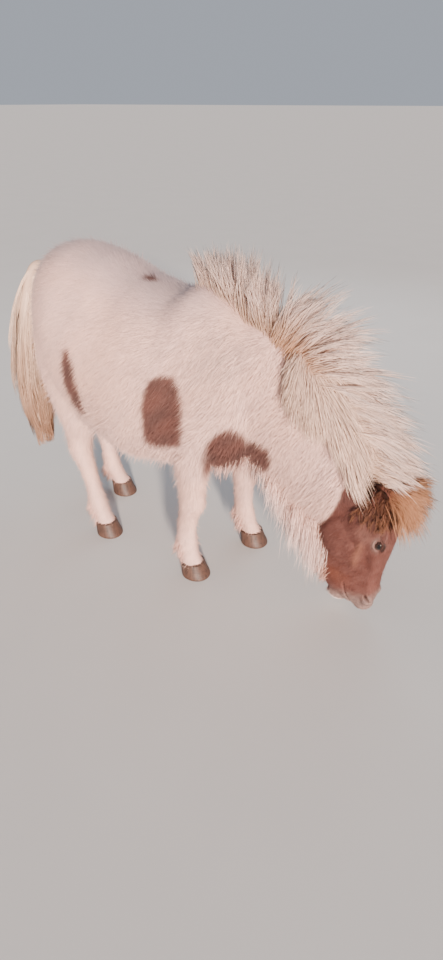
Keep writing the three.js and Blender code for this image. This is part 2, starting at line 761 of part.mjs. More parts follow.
function jawLocks(grow = 0) {
  const roll = dice(HAIR_SEED + 4);
  return spread(JAW.count, JAW.from, JAW.to, roll).map((down) => {
    const { root, out } = bed(head, down, roll(...JAW.around), ROOT_DEPTH);
    return freeLock(
      {
        root,
        way: new THREE.Vector3(roll(...JAW.forward), 0, -JAW.down).addScaledVector(out, JAW.out).normalize(),
        pull: new THREE.Vector3(...JAW.pull),
        length: roll(...JAW.length) + ROOT_DEPTH,
        width: roll(...JAW.width),
        face: out,
      },
      grow,
    );
  });
}

// Hair that hangs below the breast, between the forelegs
function chestLocks(grow = 0) {
  const roll = dice(HAIR_SEED + 5);
  return spread(CHEST.count, CHEST.from, CHEST.to, roll).map((x) => {
    const { root, out } = bed(torso, x - BUTTOCK_X, roll(...CHEST.around), ROOT_DEPTH * 0.8);
    return freeLock(
      {
        root,
        way: new THREE.Vector3(-CHEST.backward, 0, -CHEST.down).addScaledVector(out, CHEST.out).normalize(),
        pull: new THREE.Vector3(...CHEST.pull),
        length: roll(...CHEST.length) + ROOT_DEPTH,
        width: roll(...CHEST.width),
        face: out,
      },
      grow,
    );
  });
}

// Feather: hair that falls from the back of the fetlock over the pastern
function featherLocks(leg, grow = 0) {
  const roll = dice(HAIR_SEED + 8);
  return spread(FEATHER.count, ...FEATHER.around, roll).map((degrees) => {
    const { root, out } = bed(leg, leg.length - roll(...FEATHER.above), degrees, ROOT_DEPTH * 0.7);
    const way = new THREE.Vector3(-FEATHER.backward, 0, -FEATHER.down).addScaledVector(out, FEATHER.out);
    return freeLock(
      {
        root,
        way: way.normalize(),
        pull: new THREE.Vector3(...FEATHER.pull),
        length: roll(...FEATHER.length) + ROOT_DEPTH * 0.5,
        width: roll(...FEATHER.width),
        face: out,
      },
      grow,
    );
  });
}

// Tail: locks that leave the dock and the core at all heights and hang down
function tailLocks(grow = 0) {
  const roll = dice(HAIR_SEED + 9);
  const reach = tailCore.length;
  const shortens = smoothThrough([0, 1], TAIL_LOCKS.shortens);
  return spread(TAIL_LOCKS.count, TAIL_LOCKS.from, TAIL_LOCKS.to, roll).map((share) => {
    const length = roll(...TAIL_LOCKS.length) * shortens(share);
    const around = roll(0, 360);
    return lyingLock(
      tailCore,
      {
        t: share * reach,
        run: Math.min(length, reach * (1 - share)),
        from: around,
        to: around + roll(...TAIL_LOCKS.turn),
        lift: roll(...TAIL_LOCKS.lift),
        steep: TAIL_LOCKS.steep,
        width: roll(...TAIL_LOCKS.width),
        sag: roll(...TAIL_LOCKS.sag),
      },
      grow,
    );
  });
}

const SIDES = { right: -1, left: 1 };

// Where the neck leaves the shoulders and where the head leaves the neck: flat cuts, each through two points of
// its line seen from the side
const NECK_CUT = plane([-30, 1000], [185, 500]);
const HEAD_CUT = plane([572, 560], [362, 262]);
// The part of the side view that belongs to each leg. Both stay clear of the middle of the body.
const HINDLEG_OUTLINE = [
  [-800, 655],
  [-690, 640],
  [-455, 560],
  [-438, 470],
  [-470, 390],
  [-330, -10],
  [-800, -10],
];
const FORELEG_OUTLINE = [
  [-124, 480],
  [-60, 540],
  [60, 585],
  [122, 560],
  [128, 480],
  [190, -10],
  [-190, -10],
];
const INNER_THIGH = 30;
const INNER_ARM = 44;
const OUTER = 400;
const LEG_EDGE = 14;

// The plane through two points of the side view that looks towards the head
function plane([x0, z0], [x1, z1]) {
  const normal = new THREE.Vector3(z0 - z1, 0, x1 - x0).normalize();
  return { normal, offset: normal.x * x0 + normal.z * z0 };
}
const ahead = (body, { normal, offset }, margin) => body.trimByPlane(normal.toArray(), offset - margin);
const behind = (body, { normal, offset }, margin) =>
  body.trimByPlane(normal.clone().negate().toArray(), -offset - margin);

// A side outline moved outwards by margin
function widen(outline, margin) {
  const lines = outline.map(([x, z], i) => {
    const [nx, nz] = outline[(i + 1) % outline.length];
    const length = Math.hypot(nx - x, nz - z);
    const normal = [-(nz - z) / length, (nx - x) / length];
    return { normal, offset: normal[0] * x + normal[1] * z + margin };
  });
  return lines.map((line, i) => {
    const before = lines[(i + lines.length - 1) % lines.length];
    const [[a, b], [c, d]] = [before.normal, line.normal];
    const det = a * d - b * c;
    return [(before.offset * d - b * line.offset) / det, (a * line.offset - before.offset * c) / det];
  });
}

// The upright block of space that belongs to a leg
function legSpace(name, margin) {
  const hind = name.startsWith("hind");
  const outline = widen(hind ? HINDLEG_OUTLINE : FORELEG_OUTLINE, margin);
  const inner = (hind ? INNER_THIGH : INNER_ARM) - margin;
  const shape = new THREE.Shape(outline.map(([x, z]) => new THREE.Vector2(x, z)));
  const block = new THREE.ExtrudeGeometry(shape, { depth: OUTER - inner, bevelEnabled: false });
  block.rotateX(Math.PI / 2);
  block.translate(0, name.endsWith("left") ? OUTER : -inner, 0);
  return solid(block);
}

// Dense inner hair below the locks: at most half way out to their tips
const maneCore = new Form(
  [
    { at: [20, 0, 905], half: 24, front: 24, back: 30 },
    { at: [140, 8, 880], half: 50, front: 46, back: 60 },
    { at: [262, 14, 806], half: 64, front: 52, back: 70 },
    { at: [362, 16, 716], half: 66, front: 54, back: 70 },
    { at: [446, 10, 630], half: 58, front: 50, back: 60 },
    { at: [512, 0, 550], half: 44, front: 34, back: 44 },
  ],
  { facing: NECK_AXIS },
);
const throatCore = new Form(
  [
    { at: [235, 0, 470], half: 44, front: 50, back: 24 },
    { at: [300, 0, 390], half: 50, front: 70, back: 38 },
    { at: [358, 0, 290], half: 46, front: 70, back: 42 },
    { at: [405, 0, 190], half: 34, front: 50, back: 38 },
  ],
  { facing: [0.4, 0, -0.9] },
);
const tailCore = new Form(TAIL);

// The face: jowls, brows, nostril rims, chin and upper lip that swell from the head
function faceSwellings(grow = 0) {
  const axes = [headAxis, new THREE.Vector3(0, 1, 0)];
  return SWELLINGS.flatMap(({ down, front, out, radii }) => {
    const grown = radii.map((r) => r + grow);
    const places = out ? Object.values(SIDES).map((s) => s * out) : [0];
    return places.map((side) => ball(onHead({ down, front, side }), axes, grown, BALL_SIDES.swelling));
  });
}

// All of the flesh as one solid, grown outwards by a margin
function flesh(grow = 0) {
  return join([
    torso.solid({ ...FACETS.torso, grow }),
    neck.solid({ ...FACETS.neck, grow }),
    head.solid({ ...FACETS.head, grow }),
    ...faceSwellings(grow),
    ...Object.values(legs).map((leg) => leg.solid({ ...FACETS.leg, grow })),
  ]);
}

const HALF_GAP = GAP / 2;
const nodes = {};
const put = (name, body, colour, roughness = 0.9) => {
  nodes[name] = { body: largest(body), colour, roughness };
};

// The flesh with its inner hair
function bodyWithHair(grow) {
  return join([flesh(grow), ...[maneCore, throatCore].map((core) => core.solid({ ...FACETS.core, grow }))]);
}
const whole = bodyWithHair(0);
const grownWhole = bodyWithHair(GAP);
const headPart = (body, margin) => ahead(body, HEAD_CUT, margin);
const neckPart = (body, margin) => behind(ahead(body, NECK_CUT, margin), HEAD_CUT, margin);
const bodyPart = (body, margin) => behind(behind(body, NECK_CUT, margin), HEAD_CUT, margin);
// The space of a leg: the block around it, and no further from its surface than LEG_EDGE
const legPart = (name, margin) =>
  legSpace(name, margin).intersect(legs[name].solid({ ...FACETS.leg, grow: LEG_EDGE + margin }));

const hoofBodies = Object.fromEntries(Object.entries(legs).map(([name, leg]) => [name, hoof(leg, 0)]));
const hoofSpaces = Object.values(legs).map((leg) => hoof(leg, GAP));
const legNames = Object.keys(legs);
const earSpaces = Object.values(SIDES).map((side) => ear(side, GAP));

// Locks of one node: joined, and kept clear of everything else
const clear = (locks, ...others) => cut(join(locks), ...others);

const EVERYWHERE = [-Infinity, Infinity];
const TORSO_FAN = [-Infinity, NECK_FAN_START];
const NECK_FAN = [NECK_FAN_START, Infinity];
const grownForelock = join(forelockLocks(GAP));
const grownTorso = bodyPart(grownWhole, HALF_GAP);
const grownNeck = neckPart(grownWhole, HALF_GAP);
const grownHead = headPart(grownWhole, HALF_GAP);

const sides = Object.values(SIDES);
const lids = sides.flatMap((s) => [lid(s, 1, LID.upperOpen), lid(s, -1, LID.lowerOpen)]);
const openings = sides.flatMap((s) => [eyeball(s, GAP), nostril(s)]);
const headHair = clear([...forelockLocks(), ...jawLocks()], grownNeck);
const headFlesh = join([headPart(whole, -HALF_GAP), ...lids, headHair]);
put("head", cut(headFlesh, ...openings, mouthSlit()), COAT_COLOUR.chestnut);
for (const [name, side] of Object.entries(SIDES)) {
  put("eye_" + name, eyeball(side), COAT_COLOUR.eye, 0.1);
  put("ear_" + name, cut(ear(side), grownWhole, grownForelock), COAT_COLOUR.chestnut);
}

const neckHair = clear(
  [
    ...Object.values(HANGING).flatMap((one) => hangingLocks(one)),
    ...standingLocks(CREST_SPRAY, EVERYWHERE),
    ...standingLocks(WITHERS_FAN, NECK_FAN),
    ...throatLocks(),
  ],
  grownTorso,
  grownHead,
  join([grownForelock, ...jawLocks(GAP), ...standingLocks(WITHERS_FAN, TORSO_FAN, GAP)]),
  ...earSpaces,
);
put("neck", join([neckPart(whole, -HALF_GAP), neckHair]), COAT_COLOUR.mane);
const torsoHair = clear(
  [...standingLocks(WITHERS_FAN, TORSO_FAN), ...chestLocks()],
  grownNeck,
  join(throatLocks(GAP)),
  ...legNames.map((name) => legPart(name, HALF_GAP).intersect(grownWhole)),
);
const torsoFlesh = cut(bodyPart(whole, -HALF_GAP), ...legNames.map((name) => legPart(name, HALF_GAP)));
put("torso", join([torsoFlesh, torsoHair]), COAT_COLOUR.white);
for (const name of legNames) {
  const legFlesh = bodyPart(whole, -HALF_GAP).intersect(legPart(name, -HALF_GAP));
  put(name, join([legFlesh, clear(featherLocks(legs[name]), ...hoofSpaces)]), COAT_COLOUR.white);
  put(name.replace(/(.*)leg_/, "hoof_$1_"), hoofBodies[name], COAT_COLOUR.horn, 0.5);
}
const tailHair = [tailCore.solid(FACETS.core), ...tailLocks()];
put("tail", cut(join(tailHair), grownWhole), COAT_COLOUR.mane);

// The model as named meshes
const pony = new THREE.Group();
pony.name = "shetland_pony";
for (const [name, { body, colour, roughness }] of Object.entries(nodes)) {
  const made = body.getMesh();
  const geometry = new THREE.BufferGeometry()
    .setAttribute("position", new THREE.BufferAttribute(made.vertProperties, 3))
    .setIndex(new THREE.BufferAttribute(made.triVerts, 1));
  const material = new THREE.MeshStandardMaterial({ color: colour, roughness, metalness: 0 });
  const mesh = new THREE.Mesh(geometry, material);
  mesh.name = name;
  pony.add(mesh);
}
const box = new THREE.Box3().setFromObject(pony, true);
pony.position.set(-(box.min.x + box.max.x) / 2, -(box.min.y + box.max.y) / 2, 0);

export default pony;
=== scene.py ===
"""Looks of the grazing Shetland pony: skin, winter coat of tufts, long hair, eyes, lids, ears and hooves.

Places are in metres from the point of the floor midway between the fore hooves, +X towards the head, +Y to
the pony's left, +Z up. SHIFT then moves them to the frame of the parts.
"""
import math

import bpy
import numpy as np
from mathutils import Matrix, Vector


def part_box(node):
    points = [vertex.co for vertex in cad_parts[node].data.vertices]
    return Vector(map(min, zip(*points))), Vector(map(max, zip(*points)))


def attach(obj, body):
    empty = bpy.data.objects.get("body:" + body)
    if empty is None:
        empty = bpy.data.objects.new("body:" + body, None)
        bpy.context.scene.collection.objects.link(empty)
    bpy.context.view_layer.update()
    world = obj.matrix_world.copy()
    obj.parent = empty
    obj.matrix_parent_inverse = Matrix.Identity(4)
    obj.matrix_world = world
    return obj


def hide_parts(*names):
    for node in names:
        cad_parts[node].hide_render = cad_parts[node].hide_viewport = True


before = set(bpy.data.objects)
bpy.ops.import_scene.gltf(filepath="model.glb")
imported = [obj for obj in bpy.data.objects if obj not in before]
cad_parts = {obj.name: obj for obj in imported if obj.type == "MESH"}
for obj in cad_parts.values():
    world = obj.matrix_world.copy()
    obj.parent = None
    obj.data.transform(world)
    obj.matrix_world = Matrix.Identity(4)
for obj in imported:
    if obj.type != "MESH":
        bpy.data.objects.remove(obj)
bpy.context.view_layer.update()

MM = 0.001
SEED = 11

# Torso, from buttock to breast: place along the body, top line, belly line, half width, in millimetres
TORSO = [
    (-738, 905, 640, 64),
    (-702, 955, 575, 108),
    (-615, 1020, 490, 182),
    (-515, 1036, 430, 222),
    (-400, 1012, 388, 240),
    (-270, 962, 366, 248),
    (-140, 944, 380, 228),
    (-50, 975, 398, 196),
    (40, 945, 415, 172),
    (115, 880, 462, 142),
    (165, 800, 530, 85),
]
TORSO_MIDDLE = 0.48
# Neck, from the shoulders to the poll: x, z, half width, reach to the crest and to the throat
NECK = [
    (-60, 790, 140, 165, 190),
    (60, 735, 132, 178, 205),
    (170, 660, 108, 174, 205),
    (270, 580, 90, 164, 205),
    (355, 505, 78, 156, 200),
    (430, 440, 68, 130, 180),
    (490, 395, 56, 100, 120),
]
BROW_BED = [(545, 345, 52, 84, 60), (592, 295, 40, 66, 40)]
NECK_AXIS = (0.8, 0, -0.6)
# Head, down from the poll: half width, reach to the face line and to the jaw
POLL = np.array((556, 0, 492)) * MM
MUZZLE = np.array((538, 0, 46)) * MM
HEAD = [
    (8, 40, 18, 60),
    (42, 61, 30, 105),
    (92, 74, 40, 145),
    (145, 78, 44, 178),
    (200, 68, 40, 196),
    (260, 55, 33, 193),
    (320, 47, 28, 177),
    (370, 45, 30, 160),
    (408, 43, 27, 146),
    (432, 34, 14, 120),
]
# Swellings of the face: down, front, out, and radii along the face, sideways and to the front
SWELLINGS = [
    (188, -92, 42, 84, 34, 78),
    (124, 24, 56, 34, 19, 20),
    (392, 8, 32, 28, 18, 24),
    (434, -10, 0, 27, 39, 35),
    (440, -96, 0, 29, 32, 40),
]
EYE_DOWN, EYE_FRONT, EYE_SIDE, EYE_RADIUS = 148 * MM, 14 * MM, 61 * MM, 18.5 * MM
EYE_LOOK = (0.3, 0.95, 0.05)
# Legs, from the body to the hoof: height, place, how far out, half width, front and back reach
FORELEG = [
    (690, -20, 92, 62, 95, 95),
    (590, -5, 108, 66, 92, 92),
    (500, -18, 112, 60, 74, 74),
    (410, -14, 114, 52, 55, 64),
    (330, -8, 118, 44, 44, 52),
    (285, -5, 120, 45, 47, 48),
    (235, -12, 122, 35, 35, 44),
    (170, -16, 124, 32, 32, 43),
    (112, -14, 127, 38, 37, 48),
    (78, -4, 130, 34, 35, 38),
    (52, 6, 132, 40, 42, 42),
]
HINDLEG = [
    (760, -600, 92, 84, 120, 82),
    (660, -590, 106, 84, 132, 98),
    (560, -570, 118, 78, 120, 98),
    (465, -575, 120, 58, 82, 78),
    (390, -600, 118, 41, 50, 56),
    (335, -614, 117, 40, 45, 50),
    (275, -604, 118, 33, 37, 41),
    (195, -593, 119, 30, 32, 35),
    (118, -584, 120, 36, 37, 43),
    (80, -568, 121, 34, 36, 38),
    (52, -554, 122, 39, 41, 41),
]
# Which table, side, how far the foot stands ahead, how far the leg bows back, how far the foot stands out
LEGS = {
    "foreleg_right": (FORELEG, -1, -50, 4, 2),
    "foreleg_left": (FORELEG, 1, 28, 6, 0),
    "hindleg_right": (HINDLEG, -1, 96, 0, 4),
    "hindleg_left": (HINDLEG, 1, -40, 30, 0),
}
# Tail: x, y, z, half width, front and back reach
TAIL = [
    (-690, 0, 925, 30, 30, 30),
    (-758, -4, 924, 38, 30, 32),
    (-794, -14, 850, 54, 34, 38),
    (-814, -28, 720, 68, 38, 42),
    (-830, -34, 580, 72, 40, 42),
    (-850, -30, 440, 56, 32, 34),
    (-864, -22, 320, 26, 18, 18),
    (-874, -14, 222, 6, 6, 6),
]
CREST_START = (-0.08, 0, 0.975)

# How deep the coat lies over the skin
COAT_DEPTH = {"body": 12 * MM, "leg": 6 * MM, "head": 3.5 * MM}


def srgb(red, green, blue):
    """A colour given as it looks on a screen, 0 to 255, as linear light."""
    share = np.array((red, green, blue)) / 255
    return np.where(share < 0.04045, share / 12.92, ((share + 0.055) / 1.055) ** 2.4)


WHITE = srgb(252, 208, 194)
CREAM = srgb(246, 194, 173)
# Grey for random greying of the coat and for painted shade higher up
GREY = srgb(200, 172, 170)
SHADOW = srgb(168, 146, 138)
# Lilac grey of painted shade over the top of the back
LILAC_BACK_SHADE = srgb(170, 158, 166)
CHESTNUT = srgb(104, 62, 54)
DARK_CHESTNUT = srgb(78, 49, 45)
BRIGHT_CHESTNUT = srgb(148, 98, 80)
FACE_BROWN = srgb(118, 76, 68)
PINK_GREY = srgb(128, 108, 104)
LIP = srgb(240, 218, 210)
MANE_ROOT = srgb(208, 172, 146)
MANE_WHORL = srgb(188, 138, 102)
MANE_SHAFT = srgb(252, 218, 198)
# Grey of mane hair in painted shade
MANE_SHADE_GREY = srgb(210, 188, 182)
# Dark brown; at the forelock's roots it also stands in for shade
FORELOCK_ROOT = srgb(116, 70, 50)
FORELOCK_TIP = srgb(172, 122, 88)
TAIL_TOP = srgb(246, 214, 190)
TAIL_LOW = srgb(158, 116, 90)
TEMPLE_BROWN = srgb(146, 104, 92)
LOW_CHEEK_BROWN = srgb(140, 80, 58)
MUZZLE_WARM = srgb(150, 124, 114)
# Pale grey round the eye, partly painted highlight
EYE_SURROUND = srgb(132, 108, 102)
EYE_RIM = srgb(64, 44, 40)
# Painted shade in the nostrils
NOSTRIL_DARK = srgb(60, 38, 34)
# Painted shade between the lips
MOUTH_DARK = srgb(84, 52, 46)
LASH_ROOT = srgb(40, 26, 22)
LASH_TIP = srgb(60, 40, 32)
# Painted shade inside the ear's cup
EAR_INSIDE = srgb(70, 44, 40)


def smoothstep(low, high, value):
    """0 below low, 1 above high, and s^2 (3-2s) between them."""
    share = np.clip((value - low) / (high - low), 0, 1)
    return share * share * (3 - 2 * share)


def mix(a, b, share):
    """a (1-share) + b share, for vectors."""
    share = np.asarray(share)[..., None]
    return np.asarray(a) * (1 - share) + np.asarray(b) * share


def unit(v):
    """Vectors divided by their length."""
    v = np.asarray(v, float)
    return v / np.maximum(np.linalg.norm(v, axis=-1, keepdims=True), 1e-12)


def dot(a, b):
    """Sum of a b over the parts of vectors."""
    return np.sum(a * b, axis=-1)


def bell(x, y, place, reach):
    """1 at a place, and e to the minus square of the distance in reaches away from it."""
    return np.exp(-(((x - place[0]) / reach[0]) ** 2) - ((y - place[1]) / reach[1]) ** 2)


def smooth_through(places, values):
    """Curve through values at rising places with slopes that never overshoot: cubic pieces
    v(s) = near(1-s)^2 + far s^2, whose inner slopes are the harmonic mean of the chords beside them."""
    places, values = np.asarray(places, float), np.asarray(values, float)
    span = np.diff(places)[:, None]
    chord = np.diff(values, axis=0) / span
    slope = np.vstack([chord[:1], chord[1:] * 0, chord[-1:]])
    a, b = chord[:-1], chord[1:]
    total = np.where(np.abs(a + b) < 1e-12, 1, a + b)
    slope[1:-1] = np.where(a * b > 0, 2 * a * b / total, 0)

    def at(t):
        t = np.clip(np.asarray(t, float), places[0], places[-1])
        i = np.clip(np.searchsorted(places, t, side="right") - 1, 0, len(places) - 2)
        s = ((t - places[i]) / span[i, 0])[..., None]
        near = values[i] * (1 + 2 * s) + slope[i] * span[i] * s
        far = values[i + 1] * (3 - 2 * s) - slope[i + 1] * span[i] * (1 - s)
        return near * (1 - s) ** 2 + far * s**2

    return at


class Form:
    """A body carried through oval sections.

    Surface: p(t, a) = m(t) + side (half(t)+lift) c(cos a) + front (reach(t)+lift) c(sin a), with
    c(v) = sign(v)|v|^(2/squareness), reach the front's where sin a > 0 and else the back's.
    """

    def __init__(self, at, half, front, back, facing=None, squareness=2.0):
        at = np.asarray(at, float)
        self.along = np.concatenate([[0], np.cumsum(np.linalg.norm(np.diff(at, axis=0), axis=1))])
        self.length = self.along[-1]
        self.curve = smooth_through(self.along, np.column_stack([at, half, front, back]))
        self.facing = None if facing is None else unit(facing)
        self.squareness = squareness

    def middle(self, t):
        """m(t), t metres along the line."""
        return self.curve(t)[..., :3]

    def axes(self, t):
        """The way the form faces at t, the way to its side, and their cross product, to its front."""
        t = np.asarray(t, float)
        if self.facing is not None:
            tangent = np.broadcast_to(self.facing, t.shape + (3,))
        else:
            step = self.length / 200
            tangent = unit(self.middle(t + step) - self.middle(t - step))
        side = unit(np.array((0.0, 1, 0)) - tangent * tangent[..., 1:2])
        return tangent, side, np.cross(tangent, side)

    def point(self, t, a, lift=0.0, scale=1.0):
        """p(t, a), with both reaches times scale."""
        t, a, lift, scale = np.broadcast_arrays(*(np.asarray(v, float) for v in (t, a, lift, scale)))
        row = self.curve(t)
        _, side, front = self.axes(t)
        power = 2 / self.squareness
        c, s = np.cos(a), np.sin(a)
        reach = np.where(s > 0, row[..., 4], row[..., 5])
        across = np.sign(c) * np.abs(c) ** power * (row[..., 3] + lift) * scale
        ahead = np.sign(s) * np.abs(s) ** power * (reach + lift) * scale
        return row[..., :3] + side * across[..., None] + front * ahead[..., None]

    def out(self, t, a):
        """The way a point moves as its lift grows."""
        return unit(self.point(t, a, MM) - self.point(t, a))

    def closed(self, sides, rings, grow=0.0, cap=0.5):
        """Rings along the line, with end caps that bulge by cap times the half width."""
        t = np.linspace(0, self.length, rings)
        dome = np.array((0.35, 0.72)) * math.pi / 2
        shares = np.concatenate([np.cos(dome[::-1]), np.ones(rings), np.cos(dome)])
        ends = self.curve(np.array((0.0, self.length)))[:, 3] + grow
        bulge = cap * np.sin(dome)
        shifts = np.concatenate([-ends[0] * bulge[::-1], np.zeros(rings), ends[1] * bulge])
        t = np.concatenate([[0, 0], t, [self.length] * 2])
        a = np.linspace(0, 2 * math.pi, sides, endpoint=False)
        tangent = self.axes(t)[0]
        points = self.point(t[:, None], a[None], grow, shares[:, None]) + (tangent * shifts[:, None])[:, None]
        poles = [
            self.middle(0.0) - self.axes(0.0)[0] * cap * ends[0],
            self.middle(self.length) + self.axes(self.length)[0] * cap * ends[1],
        ]
        return tube_surface(points, np.array(poles))

    def locate(self, points):
        """Place along the form, angle round it, and how far out a point lies: 1 on the surface."""
        facing = self.facing if self.facing is not None else np.array((0.0, 0, -1))
        t = np.linspace(0, self.length, 400)
        place = self.middle(t) @ facing
        along = points @ facing
        order = np.argsort(place)
        found = np.interp(along, place[order], t[order])
        row = self.curve(found)
        _, side, front = self.axes(found)
        away = points - row[:, :3]
        across, ahead = dot(away, side), dot(away, front)
        u = across / row[:, 3]
        v = ahead / np.where(ahead > 0, row[:, 4], row[:, 5])
        over = np.maximum(0, np.maximum(place.min() - along, along - place.max()))
        power = self.squareness
        level = (np.abs(u) ** power + np.abs(v) ** power) ** (1 / power) + over / row[:, 3]
        return found, np.arctan2(v, u), level


def tube_surface(points, poles):
    """Triangles of a closed tube from rings of points (rings, sides, 3) and its two end points."""
    rings, sides = points.shape[:2]
    i, k = np.meshgrid(np.arange(rings - 1), np.arange(sides), indexing="ij")
    a, b = i * sides + k, i * sides + (k + 1) % sides
    c, d = a + sides, b + sides
    walls = np.stack([np.stack([a, b, d], -1), np.stack([a, d, c], -1)]).reshape(-1, 3)
    k = np.arange(sides)
    first = np.stack([np.full(sides, rings * sides), (k + 1) % sides, k], -1)
    last_ring = (rings - 1) * sides
    last = np.stack([np.full(sides, rings * sides + 1), last_ring + k, last_ring + (k + 1) % sides], -1)
    triangles = np.vstack([walls, first, last])
    return outward(np.vstack([points.reshape(-1, 3), poles]), triangles)


def outward(points, triangles):
    """Turns the triangles over where they enclose a negative volume."""
    a, b, c = (points[triangles[:, k]] for k in range(3))
    if np.sum(dot(a, np.cross(b, c))) < 0:
        triangles = triangles[:, ::-1]
    return points, triangles


torso_table = np.array(TORSO) * MM
torso_middle = torso_table[:, 2] + TORSO_MIDDLE * (torso_table[:, 1] - torso_table[:, 2])
torso = Form(
    np.column_stack([torso_table[:, 0], torso_middle * 0, torso_middle]),
    torso_table[:, 3],
    torso_table[:, 1] - torso_middle,
    torso_middle - torso_table[:, 2],
    facing=(1, 0, 0),
    squareness=2.15,
)


def side_form(rows, **options):
    """A form in the middle plane from rows of x, z, half width, front and back reach."""
    table = np.array(rows) * MM
    at = np.column_stack([table[:, 0], table[:, 0] * 0, table[:, 1]])
    return Form(at, table[:, 2], table[:, 3], table[:, 4], **options)


neck = side_form(NECK, facing=NECK_AXIS)
mane_bed = side_form(NECK + BROW_BED, facing=NECK_AXIS)
tail_table = np.array(TAIL) * MM
tail_core = Form(tail_table[:, :3], *tail_table[:, 3:].T)

HEAD_AXIS = unit(MUZZLE - POLL)
HEAD_FRONT = np.cross(HEAD_AXIS, (0, 1, 0))
Y = np.array((0.0, 1, 0))


def on_head(down, front=0.0, side=0.0):
    """A place given down from the poll, in front of the line of the head, and to the left."""
    down, front, side = (np.asarray(v, float)[..., None] for v in (down, front, side))
    return POLL + HEAD_AXIS * down + HEAD_FRONT * front + Y * side


head_table = np.array(HEAD) * MM
head = Form(
    on_head(head_table[:, 0]),
    head_table[:, 1],
    head_table[:, 2],
    head_table[:, 3],
    facing=HEAD_AXIS,
    squareness=2.25,
)


def leg_form(table, side, stride, bow, spread):
    """A leg's form: stride and spread grow down to the knee or hock and stay, bow swells as sin(pi fall)."""
    rows = np.array(table) * MM
    height = rows[:, 0]
    fall = 1 - height / height[0]
    swing = np.minimum(1, fall * 1.25)
    x = rows[:, 1] + stride * MM * swing - bow * MM * np.sin(math.pi * fall)
    y = side * (rows[:, 2] + spread * MM * swing)
    return Form(np.column_stack([x, y, height]), rows[:, 3], rows[:, 4], rows[:, 5], facing=(0, 0, -1))


legs = {name: leg_form(*row) for name, row in LEGS.items()}
SIDES = {"right": -1, "left": 1}

eye_low, eye_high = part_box("eye_right")
SHIFT = (np.array(eye_low) + np.array(eye_high)) / 2 - on_head(EYE_DOWN, EYE_FRONT, -EYE_SIDE)


def eye_axes(side):
    """Where an eye's middle is, the way it looks, the way to the nose and the way to the brow."""
    front, out, up = EYE_LOOK
    look = unit(HEAD_FRONT * front + Y * side * out - HEAD_AXIS * up)
    nasal = unit(HEAD_AXIS - look * (HEAD_AXIS @ look))
    return on_head(EYE_DOWN, EYE_FRONT, side * EYE_SIDE), look, nasal, np.cross(nasal, look) * side


def face_place(p):
    """How far down the face and how far in front of its line points lie."""
    away = p - POLL
    return away @ HEAD_AXIS, away @ HEAD_FRONT


# Markings, with painted shade and highlights

# Outlines of the patches, as x and z
FLANK_PATCH = [
    (-150, 600), (-148, 647), (-141, 688), (-123, 726), (-90, 749), (-55, 749), (-31, 711), (-27, 644),
    (-36, 570), (-51, 516), (-116, 505), (-163, 516),
]
ARM_PATCH = [
    (4, 385), (5, 430), (11, 485), (31, 541), (65, 586), (104, 611), (128, 594), (140, 566), (168, 556),
    (203, 545), (214, 518), (196, 470), (170, 448), (136, 462), (97, 457), (60, 436), (42, 405), (24, 380),
]
STIFLE_PATCH = [
    (-444, 759), (-454, 727), (-464, 673), (-464, 622), (-448, 580), (-414, 540), (-394, 562), (-390, 613),
    (-396, 653), (-402, 705), (-412, 747), (-426, 768),
]
LEFT_HAUNCH_PATCH = [
    (-634, 712), (-640, 760), (-616, 800), (-580, 806), (-548, 838), (-500, 846), (-452, 824), (-446, 782),
    (-418, 742), (-424, 700), (-462, 672), (-476, 636), (-520, 622), (-566, 640), (-596, 672),
]
LEFT_FLANK_PATCH = [
    (-232, 640), (-244, 690), (-226, 742), (-196, 770), (-160, 776), (-126, 800), (-96, 776), (-92, 720),
    (-78, 676), (-90, 624), (-122, 596), (-150, 560), (-186, 572), (-214, 604),
]
PATCHES = {
    "right": (FLANK_PATCH, ARM_PATCH, STIFLE_PATCH),
    "left": (ARM_PATCH, LEFT_HAUNCH_PATCH, LEFT_FLANK_PATCH),
}
# Small spots: x, y, z, radius and how brown
SPOTS = [(-424, -230, 792, 15, 0.3), (-388, -240, 700, 10, 0.25), (-262, -6, 958, 26, 1.0)]
# Where the chestnut of the head begins: height and x
HEAD_EDGE = [
    (-50, 414), (60, 408), (93, 402), (122, 388), (160, 374), (285, 364), (316, 371), (364, 400),
    (412, 420), (453, 432), (500, 440), (560, 446),
]


def inside_depth(x, z, outline):
    """Distance inside a closed outline, in metres, negative outside."""
    corners = np.array(outline) * MM
    following = np.roll(corners, -1, axis=0)
    nearest = np.full(x.shape, np.inf)
    within = np.zeros(x.shape, bool)
    for (ax, az), (bx, bz) in zip(corners, following):
        dx, dz = bx - ax, bz - az
        share = np.clip(((x - ax) * dx + (z - az) * dz) / (dx * dx + dz * dz), 0, 1)
        nearest = np.minimum(nearest, np.hypot(x - ax - share * dx, z - az - share * dz))
        crosses = (az > z) != (bz > z)
        within ^= crosses & (x < ax + (z - az) / (dz if dz else 1e-9) * dx)
    return np.where(within, nearest, -nearest)


def ripple(p, size):
    """Smooth made-up unevenness from -1 to 1 with waves about size long."""
    k = 2 * math.pi / size
    x, y, z = (p[:, i] * k for i in range(3))
    bent = np.sin(x + 1.7 * np.sin(0.6 * z + 0.4 * y))
    return (bent + np.sin(1.3 * z - 0.8 * y + 1.1) + np.sin(0.9 * y + 1.2 * x - z)) / 3


